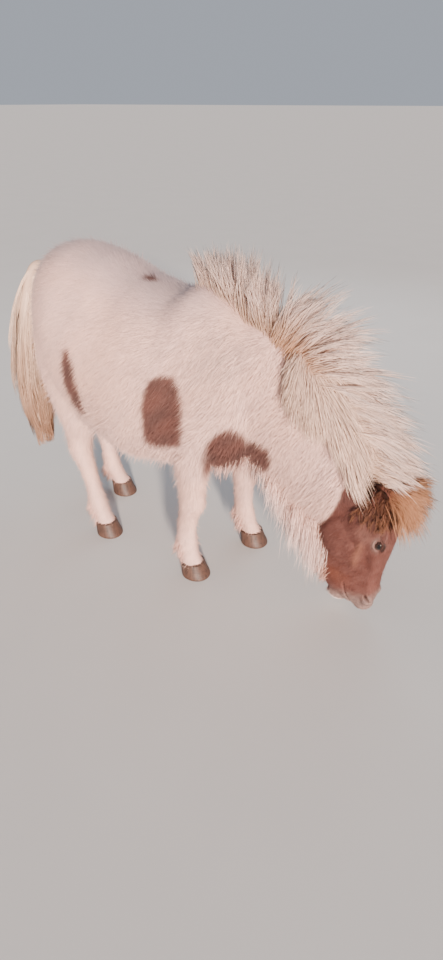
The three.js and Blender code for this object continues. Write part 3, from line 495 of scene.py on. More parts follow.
def markings_and_painted_light(p):
    """Colour of the coat at points of the skin: white with chestnut patches, and a chestnut head, with
    painted shade that greys the top of the body, turns the back lilac and darkens the shoulder.
    """
    x, y, z = p[:, 0], p[:, 1], p[:, 2]
    edge = 0.003 * ripple(p, 0.03) + 0.003 * ripple(p, 0.11) + 0.008 * (y > 0) * ripple(p, 0.2)
    white = mix(WHITE, CREAM, 0.35 + 0.3 * ripple(p, 0.5))
    # Grey at random, and more grey towards the top of the body as painted shade.
    top = smoothstep(0.7, 0.98, z)
    random_grey_and_top_shade = 0.1 + 0.22 * top + 0.12 * ripple(p, 0.16) + 0.08 * ripple(p, 0.06)
    white = mix(white, GREY, np.clip(random_grey_and_top_shade, 0, 1))
    # Painted shade: the top of the back, lit only by the sky, turns lilac grey.
    top_line = np.interp(x, torso_table[:, 0], torso_table[:, 1])
    back = smoothstep(0.1, 0.0, top_line - z) * smoothstep(0.06, -0.1, x)
    white = mix(white, LILAC_BACK_SHADE, 0.62 * back)
    shoulder = bell(x, z, (0.06, 0.8), (0.09, 0.09))
    white = mix(white, SHADOW, 0.6 * shoulder * (0.6 + 0.4 * ripple(p, 0.05)))
    patch = np.full(x.shape, -1.0)
    for side, outlines in PATCHES.items():
        for outline in outlines:
            patch = np.maximum(patch, np.where(y * SIDES[side] > 0, inside_depth(x, z, outline), -1.0))
    brown = smoothstep(-0.008, 0.008, patch + edge)
    spot = np.zeros(x.shape)
    for sx, sy, sz, radius, strength in SPOTS:
        away = np.linalg.norm(p - np.array((sx, sy, sz)) * MM, axis=1)
        spot = np.maximum(spot, strength * smoothstep(1.3, 0.6, away / (radius * MM)))
    chestnut = mix(CHESTNUT, DARK_CHESTNUT, 0.5 + 0.5 * ripple(p, 0.12))
    body = mix(white, chestnut, np.maximum(brown * 0.96, spot))
    return mix(body, face_colour(p), on_face(p, edge))


def on_face(p, edge):
    """1 on the chestnut head, 0 on the white neck."""
    heights, places = np.array(HEAD_EDGE).T * MM
    limit = np.interp(p[:, 2], heights, places)
    return smoothstep(-0.006, 0.006, p[:, 0] - limit + edge)


# Shades of the face: colour, strength, and place and reach down the face and in front of its line
FACE_SHADES = [
    # Painted shade in the hollow under the bony ridge
    (CHESTNUT, 0.6, (0.225, -0.012), (0.04, 0.016)),
    (TEMPLE_BROWN, 0.5, (0.128, -0.026), (0.026, 0.026)),
    (LOW_CHEEK_BROWN, 0.5, (0.345, -0.105), (0.03, 0.04)),
]


def face_colour(p):
    """Chestnut, darker over the forehead and behind the eye, brighter low on the cheek, with a painted
    highlight along the bony ridge and painted shade in the hollow under it, a faint pale ring round each eye
    that is paler below as painted highlight, painted shade in the nostrils and between the lips, a pinkish
    grey muzzle and a pale chin."""
    down, front = face_place(p)
    colour = mix(FACE_BROWN, CHESTNUT, np.clip(0.4 + 0.5 * ripple(p, 0.06) + 0.3 * ripple(p, 0.021), 0, 1))
    colour = mix(colour, DARK_CHESTNUT, 0.6 * smoothstep(0.13, 0.04, down))
    # Painted highlight along the bony ridge
    colour = mix(colour, BRIGHT_CHESTNUT, 0.75 * crest_height(down, front))
    for shade, strength, place, reach in FACE_SHADES:
        colour = mix(colour, shade, strength * bell(down, front, place, reach))
    muzzle = smoothstep(0.352, 0.41, down + 0.35 * front + 0.006 * ripple(p, 0.03))
    colour = mix(colour, mix(PINK_GREY, MUZZLE_WARM, 0.5 + 0.5 * ripple(p, 0.025)), 0.9 * muzzle)
    lowest = down - 0.25 * (front + 0.108) + 0.004 * ripple(p, 0.02)
    colour = mix(colour, LIP, smoothstep(0.437, 0.448, lowest) * smoothstep(-0.045, -0.06, front))
    for side in SIDES.values():
        centre, _, nasal, brow = eye_axes(side)
        q = p - centre
        ring = np.hypot(q @ nasal / 1.3, q @ brow)
        near = (np.sign(p[:, 1]) == side) & (np.abs(p[:, 1]) > 0.03)
        below = smoothstep(0.012, -0.016, q @ brow)
        # A faint pale ring round the eye, paler below it as painted highlight on the lower lid and cheek
        colour = mix(colour, EYE_SURROUND, near * smoothstep(0.027, 0.017, ring) * (0.15 + 0.5 * below))
        colour = mix(colour, EYE_RIM, 0.7 * near * smoothstep(0.0155, 0.0125, ring) * (1 - below))
        # Painted shade in the nostril
        colour = mix(colour, NOSTRIL_DARK, 0.9 * smoothstep(0.2, 0.8, nostril_depth(p, side)))
    # Painted shade in the line between the lips
    return mix(colour, MOUTH_DARK, 0.8 * mouth_depth(p))


def crest_height(down, front):
    """1 on the bony ridge that runs from below the eye towards the corner of the mouth, 0 away from it."""
    share = (down - 0.165) / 0.115
    line = -0.034 - 0.016 * share
    ends = smoothstep(-0.15, 0.1, share) * smoothstep(1.15, 0.7, share)
    return np.exp(-(((front - line) / 0.011) ** 2)) * ends


NOSTRIL_PLACE = on_head(384 * MM, 8 * MM)
NOSTRIL_SIDE = 42 * MM


def nostril_axes(side):
    """The way out of a nostril, the way along it and the way across it."""
    out = unit(Y * side + HEAD_FRONT * 0.5)
    long = HEAD_AXIS * 0.8 + HEAD_FRONT * 0.6
    long = unit(long - out * (long @ out))
    return out, long, np.cross(out, long)


def nostril_depth(p, side):
    """1 in the middle of a nostril, 0 at its rim: 1 less the squares of the distances in half lengths."""
    out, long, wide = nostril_axes(side)
    q = p - NOSTRIL_PLACE - Y * side * NOSTRIL_SIDE
    bend = q @ wide - 0.012 * ((q @ long) / 0.016) ** 2 * 0.25
    e = (q @ long / 0.0155) ** 2 + (bend / 0.0075) ** 2 + np.maximum(0, np.abs(q @ out) - 0.02) * 1e3
    return np.clip(1 - e, 0, 1)


# Ends of the line of the mouth: down, and in front of the head's line
MOUTH_CORNER = np.array((362, -72)) * MM
MOUTH_END = np.array((448, -40)) * MM


def mouth_depth(p):
    """1 in the line between the lips, 0 away from it."""
    q = np.column_stack(face_place(p)) - MOUTH_CORNER
    way = MOUTH_END - MOUTH_CORNER
    long = np.linalg.norm(way)
    way = way / long
    along = q @ way
    across = q @ np.array((-way[1], way[0])) + 0.003 * np.sin(np.clip(along / long, 0, 1) * math.pi * 1.5)
    inside = smoothstep(-0.004, 0.006, along)
    return inside * np.exp(-((across / 0.0026) ** 2))


# Meshes

def add_mesh(name, points, triangles, tint=None, normals=None, patches=None):
    """A mesh object of triangles, moved into the frame of the parts."""
    mesh = bpy.data.meshes.new(name)
    mesh.vertices.add(len(points))
    mesh.vertices.foreach_set("co", np.ascontiguousarray(points + SHIFT, np.float32).ravel())
    corners = np.ascontiguousarray(triangles, np.int32).ravel()
    mesh.loops.add(len(corners))
    mesh.loops.foreach_set("vertex_index", corners)
    mesh.polygons.add(len(triangles))
    mesh.polygons.foreach_set("loop_start", np.arange(0, len(corners), 3, dtype=np.int32))
    mesh.polygons.foreach_set("use_smooth", np.ones(len(triangles), bool))
    mesh.update(calc_edges=True)
    if tint is not None:
        layer = mesh.attributes.new("tint", "FLOAT_COLOR", "POINT")
        colours = np.column_stack([np.broadcast_to(tint, points.shape), np.ones(len(points))])
        layer.data.foreach_set("color", colours.astype(np.float32).ravel())
    if patches is not None:
        layer = mesh.uv_layers.new(name="OFBake")
        layer.data.foreach_set("uv", patches[corners].astype(np.float32).ravel())
    if normals is not None:
        layer = mesh.attributes.new("custom_normal", "FLOAT_VECTOR", "POINT")
        layer.data.foreach_set("vector", normals.astype(np.float32).ravel())
    thing = bpy.data.objects.new(name, mesh)
    bpy.context.scene.collection.objects.link(thing)
    return thing


def finish_piece(thing, material, nodes):
    """Gives a piece its material and says what it rides on, which solids it replaces."""
    thing.data.materials.append(material)
    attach(thing, "root")
    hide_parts(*nodes)


def vertex_normals(points, triangles):
    """At each point the sum of its triangles' cross products, made unit."""
    a, b, c = (points[triangles[:, k]] for k in range(3))
    face = np.cross(b - a, c - a)
    total = np.zeros_like(points)
    for k in range(3):
        for axis in range(3):
            total[:, axis] += np.bincount(triangles[:, k], face[:, axis], len(points))
    return unit(total)


# Skin

# Step of the skin's mesh away from the face, and how much and how far round the face it is made finer
SKIN_VOXEL = 8.5 * MM
FACE_CENTRE = np.array((0.548, 0, 0.25))
FACE_ZOOM, FACE_REACH = 2.6, 0.35
RADII = np.linspace(0, 2.5, 5001)
ZOOMED = RADII * (1 + FACE_ZOOM / (1 + (RADII / FACE_REACH) ** 2))


def zoom_face(points, inverse=False):
    """Swells the space round the face, so that even steps through it are finer there:
    r' = r (1 + z / (1 + (r/R)^2))."""
    away = points - FACE_CENTRE
    radius = np.maximum(np.linalg.norm(away, axis=1), 1e-9)
    new = np.interp(radius, ZOOMED, RADII) if inverse else np.interp(radius, RADII, ZOOMED)
    return FACE_CENTRE + away * (new / radius)[:, None]


def ball(centre, axes, radii, rings=24, sides=32):
    """Oval ball: p = c + sum of axis_k radius_k d_k over the unit sphere's directions d."""
    theta = np.linspace(0, math.pi, rings + 2)[1:-1, None]
    phi = np.linspace(0, 2 * math.pi, sides, endpoint=False)[None]
    parts = np.cos(theta), np.sin(theta) * np.cos(phi), np.sin(theta) * np.sin(phi)
    d = np.stack(np.broadcast_arrays(*parts), -1)
    scaled = np.array(axes) * np.array(radii)[:, None]
    poles = centre + np.array([scaled[0], -scaled[0]])
    return tube_surface(centre + d @ scaled, poles)


def skin_bodies():
    """The overlapping closed bodies that the skin is drawn over."""
    depth = COAT_DEPTH
    yield torso.closed(72, 90, -depth["body"], 0.35)
    yield neck.closed(64, 60, -depth["body"], 0.4)
    yield head.closed(64, 80, -depth["head"], 0.5)
    for leg in legs.values():
        yield leg.closed(40, 80, -depth["leg"], 0.2)
    for down, front, out, along, side, ahead in np.array(SWELLINGS) * MM:
        for s in SIDES.values() if out else (0,):
            centre = on_head(down, front, s * out)
            radii = np.array((along, side, ahead)) - depth["head"]
            yield ball(centre, (HEAD_AXIS, Y, np.cross(HEAD_AXIS, Y)), radii)


def drawn_skin():
    """One closed surface over the bodies, evenly meshed, with its folds eased."""
    points, triangles, count = [], [], 0
    for body_points, body_triangles in skin_bodies():
        points.append(zoom_face(body_points))
        triangles.append(body_triangles + count)
        count += len(body_points)
    rough = add_mesh("rough_skin", np.vstack(points) - SHIFT, np.vstack(triangles))
    remesh = rough.modifiers.new("even", "REMESH")
    remesh.mode = "VOXEL"
    remesh.voxel_size = SKIN_VOXEL
    whole = bpy.data.meshes.new_from_object(rough.evaluated_get(bpy.context.evaluated_depsgraph_get()))
    whole_points = np.empty(len(whole.vertices) * 3)
    whole.vertices.foreach_get("co", whole_points)
    whole_points = zoom_face(whole_points.reshape(-1, 3), inverse=True)
    whole.calc_loop_triangles()
    corners = np.empty(len(whole.loop_triangles) * 3, np.int32)
    whole.loop_triangles.foreach_get("vertices", corners)
    edges = np.empty(len(whole.edges) * 2, np.int32)
    whole.edges.foreach_get("vertices", edges)
    bpy.data.objects.remove(rough)
    return whole_points, corners.reshape(-1, 3), edges.reshape(-1, 2)


def eased(points, edges, strength, passes):
    """Moves each point towards the mean of its neighbours, and then back out a little less."""
    ends = np.concatenate([edges[:, 0], edges[:, 1]])
    others = np.concatenate([edges[:, 1], edges[:, 0]])
    share = 1 / np.maximum(np.bincount(ends, minlength=len(points)), 1)[:, None]
    for step in range(passes):
        mean = np.column_stack([np.bincount(ends, points[others, k], len(points)) for k in range(3)]) * share
        factor = 0.6 if step % 2 == 0 else -0.5
        points = points + (mean - points) * factor * strength[:, None]
    return points


def shape_face(points):
    """Opens the eyes, hollows the nostrils and draws the line of the mouth."""
    for side in SIDES.values():
        centre, look, nasal, brow = eye_axes(side)
        q = points - centre
        n, b, depth = q @ nasal, q @ brow, q @ look
        near = (depth > 0) & (np.hypot(n, b) < 0.05)
        ring = np.hypot(n / 0.0145, (b + 0.0012) / 0.0092)
        bulge = np.sqrt(np.maximum(EYE_RADIUS**2 - n * n - b * b, 0.005**2)) + 0.0018
        rim = np.where(ring < 1, -0.006, bulge)
        share = smoothstep(2.3, 1.05, ring) * near
        points = points + look * (share * (rim - depth))[:, None]
        points = points - look * (bell(b, n, (0.030, 0), (0.011, 0.03)) * near * 0.006)[:, None]
        down, front = face_place(points)
        this_side = smoothstep(0.012, 0.03, side * points[:, 1])
        ridge = 0.0045 * crest_height(down, front)
        groove = 0.004 * bell(down, front, (0.225, -0.012), (0.045, 0.013))
        jaw = 0.003 * bell(down, front, (0.23, -0.085), (0.06, 0.02))
        points = points + Y * (side * this_side * (ridge - groove - jaw))[:, None]
        hollow = 0.013 * smoothstep(0, 0.75, nostril_depth(points, side))
        points = points - nostril_axes(side)[0] * hollow[:, None]
    middle = on_head(face_place(points)[0], -0.055)
    return points + unit(middle - points) * (0.0055 * mouth_depth(points))[:, None]


skin_points, skin_triangles, skin_edges = drawn_skin()
face_share = smoothstep(0.30, 0.20, np.linalg.norm(skin_points - FACE_CENTRE, axis=1))
leg_share = smoothstep(0.44, 0.36, skin_points[:, 2]) * (1 - face_share)
skin_points = eased(skin_points, skin_edges, 1 - 0.1 * face_share - 0.6 * leg_share, 44)
skin_points = shape_face(skin_points)
skin_points, skin_triangles = outward(skin_points, skin_triangles)
skin_normals = vertex_normals(skin_points, skin_triangles)

# Forms that have a tile of the unwrap each, tiles to a side, and the size of a hair's patch
REGIONS = [torso, neck, head, *legs.values()]
TILES = 4
PATCH = 0.003


def skin_places(points):
    """The form each point belongs to, and its place on a flat unwrap of that form: along it and round it."""
    found = [form.locate(points) for form in REGIONS]
    which = np.argmin(np.stack([level for _, _, level in found]), axis=0)
    along = np.choose(which, [t / form.length for (t, _, _), form in zip(found, REGIONS)])
    around = np.choose(which, [a / (2 * math.pi) % 1 for _, a, _ in found])
    return which, unwrap(which, along, around)


def unwrap(tile, along, around):
    """A place in a tile of the unwrap, with a margin: (tile's column and row + 0.03 + 0.94 place) / TILES."""
    column, row = np.asarray(tile) % TILES, np.asarray(tile) // TILES
    inner = np.stack(np.broadcast_arrays(0.03 + 0.94 * np.clip(along, 0, 1), 0.03 + 0.94 * (around % 1)), -1)
    return (np.stack(np.broadcast_arrays(column, row), -1) + inner) / TILES


MANE_TILE, FORELOCK_TILE, TAIL_TILE, FRINGE_TILE, FEATHER_TILE, EAR_TILE = range(8, 14)


# Hair

HAIR_SIDES = 3


def hair_mesh(name, paths, widths, faces, tints, places, soft, softness, flat=0.5):
    """Closed tapering hairs. Ring i of a hair is p_i + w_i/2 (side cos b_k + face flat sin b_k) for b_k round
    the circle, and its last path point is its tip. Each hair's patch of the unwrap lies at its root's place.
    Where soft normals are given, the normals are soft softness + own (1-softness)."""
    sides = HAIR_SIDES
    count, last = paths.shape[0], paths.shape[1] - 1
    tangent = unit(np.gradient(paths, axis=1))[:, :last]
    across = unit(np.cross(faces, tangent))
    lifted = np.cross(tangent, across)
    b = math.pi / 2 + 2 * math.pi * np.arange(sides) / sides
    spread_out = across[:, :, None] * np.cos(b)[:, None] + lifted[:, :, None] * (flat * np.sin(b))[:, None]
    rings = paths[:, :last, None] + spread_out * (widths[..., None, None] / 2)
    points = np.concatenate([rings.reshape(count, last * sides, 3), paths[:, last:]], axis=1)
    per = last * sides + 1
    i, k = np.meshgrid(np.arange(last - 1), np.arange(sides), indexing="ij")
    a, c = i * sides + k, i * sides + (k + 1) % sides
    halves = np.stack([a, c, c + sides], -1), np.stack([a, c + sides, a + sides], -1)
    walls = np.stack(halves).reshape(-1, 3)
    k = np.arange(sides)
    last_ring = (last - 1) * sides
    end = np.stack([last_ring + k, last_ring + (k + 1) % sides, np.full(sides, per - 1)], -1)
    base = np.array([(0, k + 1, k) for k in range(1, sides - 1)])
    one = np.vstack([walls, end, base])
    _, one = outward(points[0] - points[0].mean(axis=0), one)
    triangles = (one[None] + (np.arange(count) * per)[:, None, None]).reshape(-1, 3)
    ring_of = np.append(np.repeat(np.arange(last), sides), last)
    side_of = np.append(np.tile(np.arange(sides), last), 0)
    offsets = np.column_stack([ring_of / last - 0.5, side_of / max(1, sides - 1) - 0.5]) * PATCH
    patches = (places[:, None] + offsets[None]).reshape(-1, 2)
    tint = tints[:, ring_of].reshape(-1, 3)
    normals = None
    if soft is not None:
        own = np.concatenate([unit(spread_out).reshape(count, last * sides, 3), lifted[:, -1:]], axis=1)
        normals = unit(soft[:, None] * softness + own * (1 - softness)).reshape(-1, 3)
    return add_mesh(name, points.reshape(-1, 3), triangles, tint, normals, patches)


def lie_of(p, n):
    """Which way the short coat lies at points of the skin with normals n."""
    x, z = p[:, 0], p[:, 2]
    way = np.column_stack([np.full(len(p), -0.72), 0 * x, -0.32 - 0.5 * np.abs(n[:, 1])])
    way = mix(way, (-0.42, 0, -0.75), smoothstep(0.05, 0.28, x))
    way = mix(way, (-0.22, 0, -1.0), smoothstep(0.52, 0.36, z) * smoothstep(0.3, 0.2, x))
    down, front = face_place(p)
    cheek = smoothstep(0.0, -0.06, front)[:, None]
    brow_way = HEAD_FRONT * 0.3 + HEAD_AXIS * 0.5 + Y * np.sign(p[:, 1:2]) * 0.7
    face_way = mix(HEAD_AXIS - HEAD_FRONT * 0.75 * cheek, brow_way, smoothstep(0.14, 0.08, down))
    way = mix(way, face_way, on_face(p, 0))
    swirl = np.column_stack([ripple(p, 0.35), ripple(p + 3.1, 0.3), ripple(p + 7.7, 0.4)]) * 0.22
    clump = np.column_stack([ripple(p, 0.055), ripple(p + 1.7, 0.047), ripple(p + 4.3, 0.06)]) * 0.16
    way = way + swirl + clump
    return unit(way - n * dot(way, n)[:, None])


def scattered(density, seed):
    """Random points of the skin, so many to a square metre at each place, with their normals."""
    rng = np.random.default_rng(seed)
    a, b, c = (skin_points[skin_triangles[:, k]] for k in range(3))
    area = np.linalg.norm(np.cross(b - a, c - a), axis=1) / 2
    wanted = area * density((a + b + c) / 3)
    number = np.floor(wanted + rng.random(len(wanted))).astype(int)
    picked = np.repeat(np.arange(len(wanted)), number)
    u, v = rng.random(len(picked)), rng.random(len(picked))
    over = u + v > 1
    u, v = np.where(over, 1 - u, u), np.where(over, 1 - v, v)
    weights = np.column_stack([1 - u - v, u, v])
    corners = skin_triangles[picked]
    p = np.einsum("ij,ijk->ik", weights, skin_points[corners])
    n = unit(np.einsum("ij,ijk->ik", weights, skin_normals[corners]))
    return p, n, rng


def open_skin(p):
    """True where the skin carries hair: not in the eyes, nostrils or mouth, nor under the hooves."""
    bare = p[:, 2] < 0.05
    for side in SIDES.values():
        centre, look, nasal, brow = eye_axes(side)
        q = p - centre
        bare |= (np.hypot(q @ nasal / 0.019, q @ brow / 0.0145) < 1) & (q @ look > 0)
        bare |= nostril_depth(p, side) > 0.02
    bare |= mouth_depth(p) > 0.3
    return ~bare


# How deep a tuft is rooted, how many are longer guard hairs, and how light root and tip are
TUFT_ROOT = 2.2 * MM
GUARD_SHARE = 0.14
TUFT_TONES = np.array((0.92, 1.04))


def tufts(name, p, n, rng, length, width, lift, material, nodes, shade=(0.86, 1.08)):
    """Short coat: tufts rooted in the skin that rise by lift and bend back along the lie, each a ring and a
    tip: p(u) = p + way L u + n L tan(lift) u(1.55-0.55u) - z 0.12 L u^2."""
    count = len(p)
    way = lie_of(p, n)
    way = unit(way + np.cross(n, way) * rng.normal(0, 0.16, count)[:, None])
    clump = 0.5 + 0.5 * ripple(p, 0.018) * ripple(p + 0.3, 0.041)
    size = length * rng.uniform(0.7, 1.15, count) * (0.85 + 0.35 * clump)
    guard = rng.random(count) < GUARD_SHARE
    rise = np.tan(lift * rng.uniform(0.6, 1.5, count) * np.where(guard, 1.5, 1.0))
    size = size * np.where(guard, 1.25, 1.0)
    u = np.array((0.0, 1.0))[None, :, None]
    up = (rise * size)[:, None, None] * (1.55 * u - 0.55 * u * u) - TUFT_ROOT * (1 - u)
    fall = np.array((0, 0, -1.0)) * (0.12 * size)[:, None, None] * u * u
    paths = p[:, None] + way[:, None] * (size[:, None, None] * u) + n[:, None] * up + fall
    widths = (width * rng.uniform(0.7, 1.3, count))[:, None]
    tone = (rng.uniform(*shade, count) * (0.9 + 0.18 * clump))[:, None, None] * TUFT_TONES[:, None]
    tints = tone * np.stack([markings_and_painted_light(p + way * (share * size)[:, None]) for share in (0.1, 0.75)], axis=1)
    thing = hair_mesh(name, paths, widths, n[:, None], tints, skin_places(p)[1], n, 0.74)
    finish_piece(thing, material, nodes)


# How deep lying hairs are rooted, and how wide they are
LYING_ROOT = 14 * MM
LYING_WIDTH = 2.4 * MM


def lying_paths(form, hairs, wave, phase, rings):
    """Hairs lying along a form: p(u) = surface(t + run u, angle, rise) - z sag u^2, with angle = start +
    (end-start) u(1.5-0.5u), rise = -deep + (lift+deep)(1-(1-u)^steep), and t waved by sin(5u)."""
    u = np.linspace(0, 1, rings + 1)[None]
    t, run, start, end, lift, sag, steep = (
        hairs[key][:, None] for key in ("t", "run", "start", "end", "lift", "sag", "steep"))
    angle = np.radians(start + (end - start) * u * (1.5 - 0.5 * u))
    rise = -LYING_ROOT + (lift + LYING_ROOT) * (1 - (1 - u) ** steep)
    place = t + run * u + wave[:, None] * np.sin(u * 5 + phase[:, None]) * u
    points = form.point(place, angle, rise)
    points[..., 2] -= sag * u * u
    return points


def long_hair(name, paths, width, tints, places, nodes, faces=None, soft=None):
    """Hairs that thin to their tips as (1.15-u)^0.6, with 1.15-u held from 0.2 to 1. Each is turned its own
    way where no faces are given."""
    count, rings = paths.shape[0], paths.shape[1] - 1
    taper = np.clip(1.15 - np.linspace(0, 1, rings + 1)[:rings], 0.2, 1) ** 0.6
    widths = (width * rng.uniform(0.7, 1.3, count))[:, None] * taper[None]
    if faces is None:
        faces = unit(rng.normal(size=(count, 1, 3)))
    thing = hair_mesh(name, paths, widths, faces, tints, places, soft, 0.45, flat=0.6)
    finish_piece(thing, LONG_HAIR, nodes)


# Materials

def add_node(tree, kind, inputs=(), **settings):
    """A shader node with some settings, and inputs given by name or number."""
    node = tree.nodes.new("ShaderNode" + kind)
    for name, value in settings.items():
        setattr(node, name, value)
    for key, value in dict(inputs).items():
        node.inputs[key].default_value = value
    return node


def wire(tree, *rows):
    """Links from a node's output to another's input, each row: node, output, node, input."""
    for source, output, target, into in rows:
        tree.links.new(source.outputs[output], target.inputs[into])


def new_material(name, values):
    """A material whose shader has some values set, with its tree and its shader."""
    material = bpy.data.materials.new(name)
    material.use_nodes = True
    shader = material.node_tree.nodes["Principled BSDF"]
    for key, value in values.items():
        shader.inputs[key].default_value = value
    return material, material.node_tree, shader


def colour_ramp(tree, *stops):
    """A ramp through two colours, each with its place."""
    ramp = add_node(tree, "ValToRGB")
    for element, (position, colour) in zip(ramp.color_ramp.elements, stops):
        element.position = position
        element.color = (*colour, 1)
    return ramp


def hair_grain():
    """Shared unevenness of hair: a mask of fine streaks and a height for the bump."""
    tree = bpy.data.node_groups.new("hair_grain", "ShaderNodeTree")
    tree.interface.new_socket("Scale", in_out="INPUT", socket_type="NodeSocketFloat").default_value = 400
    for name in ("Mask", "Height"):
        tree.interface.new_socket(name, in_out="OUTPUT", socket_type="NodeSocketFloat")
    inputs, outputs = tree.nodes.new("NodeGroupInput"), tree.nodes.new("NodeGroupOutput")
    place = add_node(tree, "TexCoord")
    fine = add_node(tree, "TexNoise", {"Detail": 4, "Roughness": 0.7})
    broad = add_node(tree, "TexNoise", {"Scale": 14, "Detail": 3})
    blend = add_node(tree, "Math", {1: 0.6}, operation="MULTIPLY_ADD")
    scaled = add_node(tree, "Math", {1: 0.4}, operation="MULTIPLY")
    wire(tree, (place, "Object", fine, "Vector"), (place, "Object", broad, "Vector"),
         (inputs, "Scale", fine, "Scale"), (broad, 0, scaled, 0), (fine, 0, blend, 0), (scaled, 0, blend, 2),
         (blend, 0, outputs, "Mask"), (fine, 0, outputs, "Height"))
    return tree


def uneven_tint(tree, shader, source, output, low, high, span=(0, 1)):
    """Base colour: the piece's own tint, scaled from low to high as a mask crosses its span."""
    tint = add_node(tree, "Attribute", attribute_name="tint")
    ends = {"From Min": span[0], "From Max": span[1], "To Min": low, "To Max": high}
    level = add_node(tree, "MapRange", ends)
    shade = add_node(tree, "VectorMath", operation="SCALE")
    wire(tree, (source, output, level, "Value"), (tint, "Color", shade, 0), (level, 0, shade, "Scale"),
         (shade, 0, shader, "Base Color"))


GRAIN = hair_grain()


def hair_material(name, scale, low, high, roughness, sheen=0.0, bump=0.0, specular=0.3):
    """A coat whose colour is the piece's own tint, made uneven by the grain."""
    material, tree, shader = new_material(name, {"Roughness": roughness, "Specular IOR Level": specular,
                                                 "Sheen Weight": sheen, "Sheen Roughness": 0.5})
    grain = add_node(tree, "Group", {"Scale": scale}, node_tree=GRAIN)
    uneven_tint(tree, shader, grain, "Mask", low, high, (0.3, 0.7))
    if bump:
        bumps = add_node(tree, "Bump", {"Strength": bump, "Distance": 0.002})
        wire(tree, (grain, "Height", bumps, "Height"), (bumps, "Normal", shader, "Normal"))
    return material


SKIN = hair_material("skin", 260, 0.86, 1.08, 0.8, bump=0.5, specular=0.2)
COAT = hair_material("winter_coat", 500, 0.9, 1.08, 0.72, sheen=0.12)
FACE_COAT = hair_material("face_coat", 700, 0.86, 1.12, 0.62, specular=0.35)
LONG_HAIR = hair_material("long_hair", 160, 0.88, 1.1, 0.5, specular=0.4)
LID_SKIN = hair_material("lid_skin", 500, 0.85, 1.1, 0.42, bump=0.4, specular=0.5)


def horn_material():
    """Horn: dark, with growth rings that follow the coronet and fine upright grain."""
    material, tree, shader = new_material("horn", {"Roughness": 0.55})
    place = add_node(tree, "TexCoord")
    stretch = add_node(tree, "VectorMath", {1: (160, 160, 14)}, operation="MULTIPLY")
    streak = add_node(tree, "TexNoise", {"Scale": 1, "Detail": 5})
    waves = {"Scale": 55, "Distortion": 1.6, "Detail Scale": 6}
    rings = add_node(tree, "TexWave", waves, bands_direction="Z")
    ramp = colour_ramp(tree, (0.3, srgb(40, 31, 27)), (0.75, srgb(96, 68, 56)))
    add = add_node(tree, "Math", {1: 0.22}, operation="MULTIPLY_ADD")
    bumps = add_node(tree, "Bump", {"Strength": 0.35, "Distance": 0.0015})
    wire(tree, (place, "Object", stretch, 0), (stretch, 0, streak, "Vector"),
         (place, "Object", rings, "Vector"), (rings, "Fac", add, 0), (streak, 0, add, 2),
         (add, 0, ramp, "Fac"), (add, 0, bumps, "Height"),
         (ramp, "Color", shader, "Base Color"), (bumps, "Normal", shader, "Normal"))
    return material


def eye_material():
    """Eye: the ball's own rings of colour under a wet clear coat."""
    material, tree, shader = new_material("eye", {"Roughness": 0.12, "Specular IOR Level": 0.25,
                                                  "Coat Weight": 0.6, "Coat Roughness": 0.03})
    place = add_node(tree, "TexCoord")
    fine = add_node(tree, "TexNoise", {"Scale": 900})
    wire(tree, (place, "Object", fine, "Vector"))
    uneven_tint(tree, shader, fine, 0, 0.75, 1.25)
    return material


HORN = horn_material()
EYE = eye_material()
LEG_NODES = tuple(legs)
FLESH_NODES = ("torso", "neck", "head", *LEG_NODES)

skin = add_mesh("skin", skin_points, skin_triangles, markings_and_painted_light(skin_points))
finish_piece(skin, SKIN, FLESH_NODES)


# Winter coat

def body_density(p):
    """Tufts to a square metre, more on the lower legs."""
    lower = smoothstep(0.42, 0.3, p[:, 2])
    return 62000 + 22000 * lower


def head_density(p):
    """Tufts to a square metre of the head."""
    return np.full(len(p), 150000.0)


p, n, _ = scattered(body_density, SEED)
keep = open_skin(p) & (on_face(p, 0) < 0.5)
p, n = p[keep], n[keep]
low = smoothstep(0.44, 0.26, p[:, 2])
under = smoothstep(-0.1, -0.75, n[:, 2]) * (1 - low)
length = 0.026 * (1 - low) + 0.016 * low + 0.016 * under
length = np.where(p[:, 2] < 0.1, 0.014, length)
width = 0.0026 * (1 - low) + 0.0022 * low
# The body's coat is cut across at these places
PARTS = {
    "coat_hind": (-1, -0.5),
    "coat_loin": (-0.5, -0.24),
    "coat_middle": (-0.24, 0.0),
    "coat_front": (0.0, 1),
}
for order, (name, (low_x, high_x)) in enumerate(PARTS.items()):
    mask = (p[:, 0] >= low_x) & (p[:, 0] < high_x)
    tufts(name, p[mask], n[mask], np.random.default_rng(SEED + 20 + order), length[mask], width[mask], 0.33,
          COAT, FLESH_NODES)

p, n, coat_rng = scattered(head_density, SEED + 1)
keep = open_skin(p) & (on_face(p, 0) >= 0.5)
p, n = p[keep], n[keep]
down = (p - POLL) @ HEAD_AXIS
length = np.interp(down, (0.0, 0.1, 0.2, 0.36, 0.44), (0.020, 0.014, 0.013, 0.010, 0.005))
tufts("coat_face", p, n, coat_rng, length, 0.0019, 0.24, FACE_COAT, ("head",),
      shade=(0.76, 1.2))


# Mane

# All that follows draws from this one
rng = np.random.default_rng(SEED + 3)
# How far a lock's hairs draw together, how light it is, and how many hairs stray from it
GATHERED = 0.7
LOCK_TONE = (0.84, 1.06)
STRAYS = 0.14


def lock_children(parents, children, spreads):
    """Hairs of locks: each parent's values plus normal spreads of their own, with ends that draw together."""
    grown = {key: np.repeat(value, children) for key, value in parents.items()}
    for key, spread_width in spreads.items():
        grown[key] = grown[key] + rng.normal(0, 1, len(grown[key])) * spread_width
    grown["run"] = grown["run"] - GATHERED * (grown["t"] - np.repeat(parents["t"], children))
    grown["end"] = grown["end"] - GATHERED * 0.5 * (grown["start"] - np.repeat(parents["start"], children))
    grown["tone"] = np.repeat(rng.uniform(*LOCK_TONE, len(parents["t"])), children)
    return grown


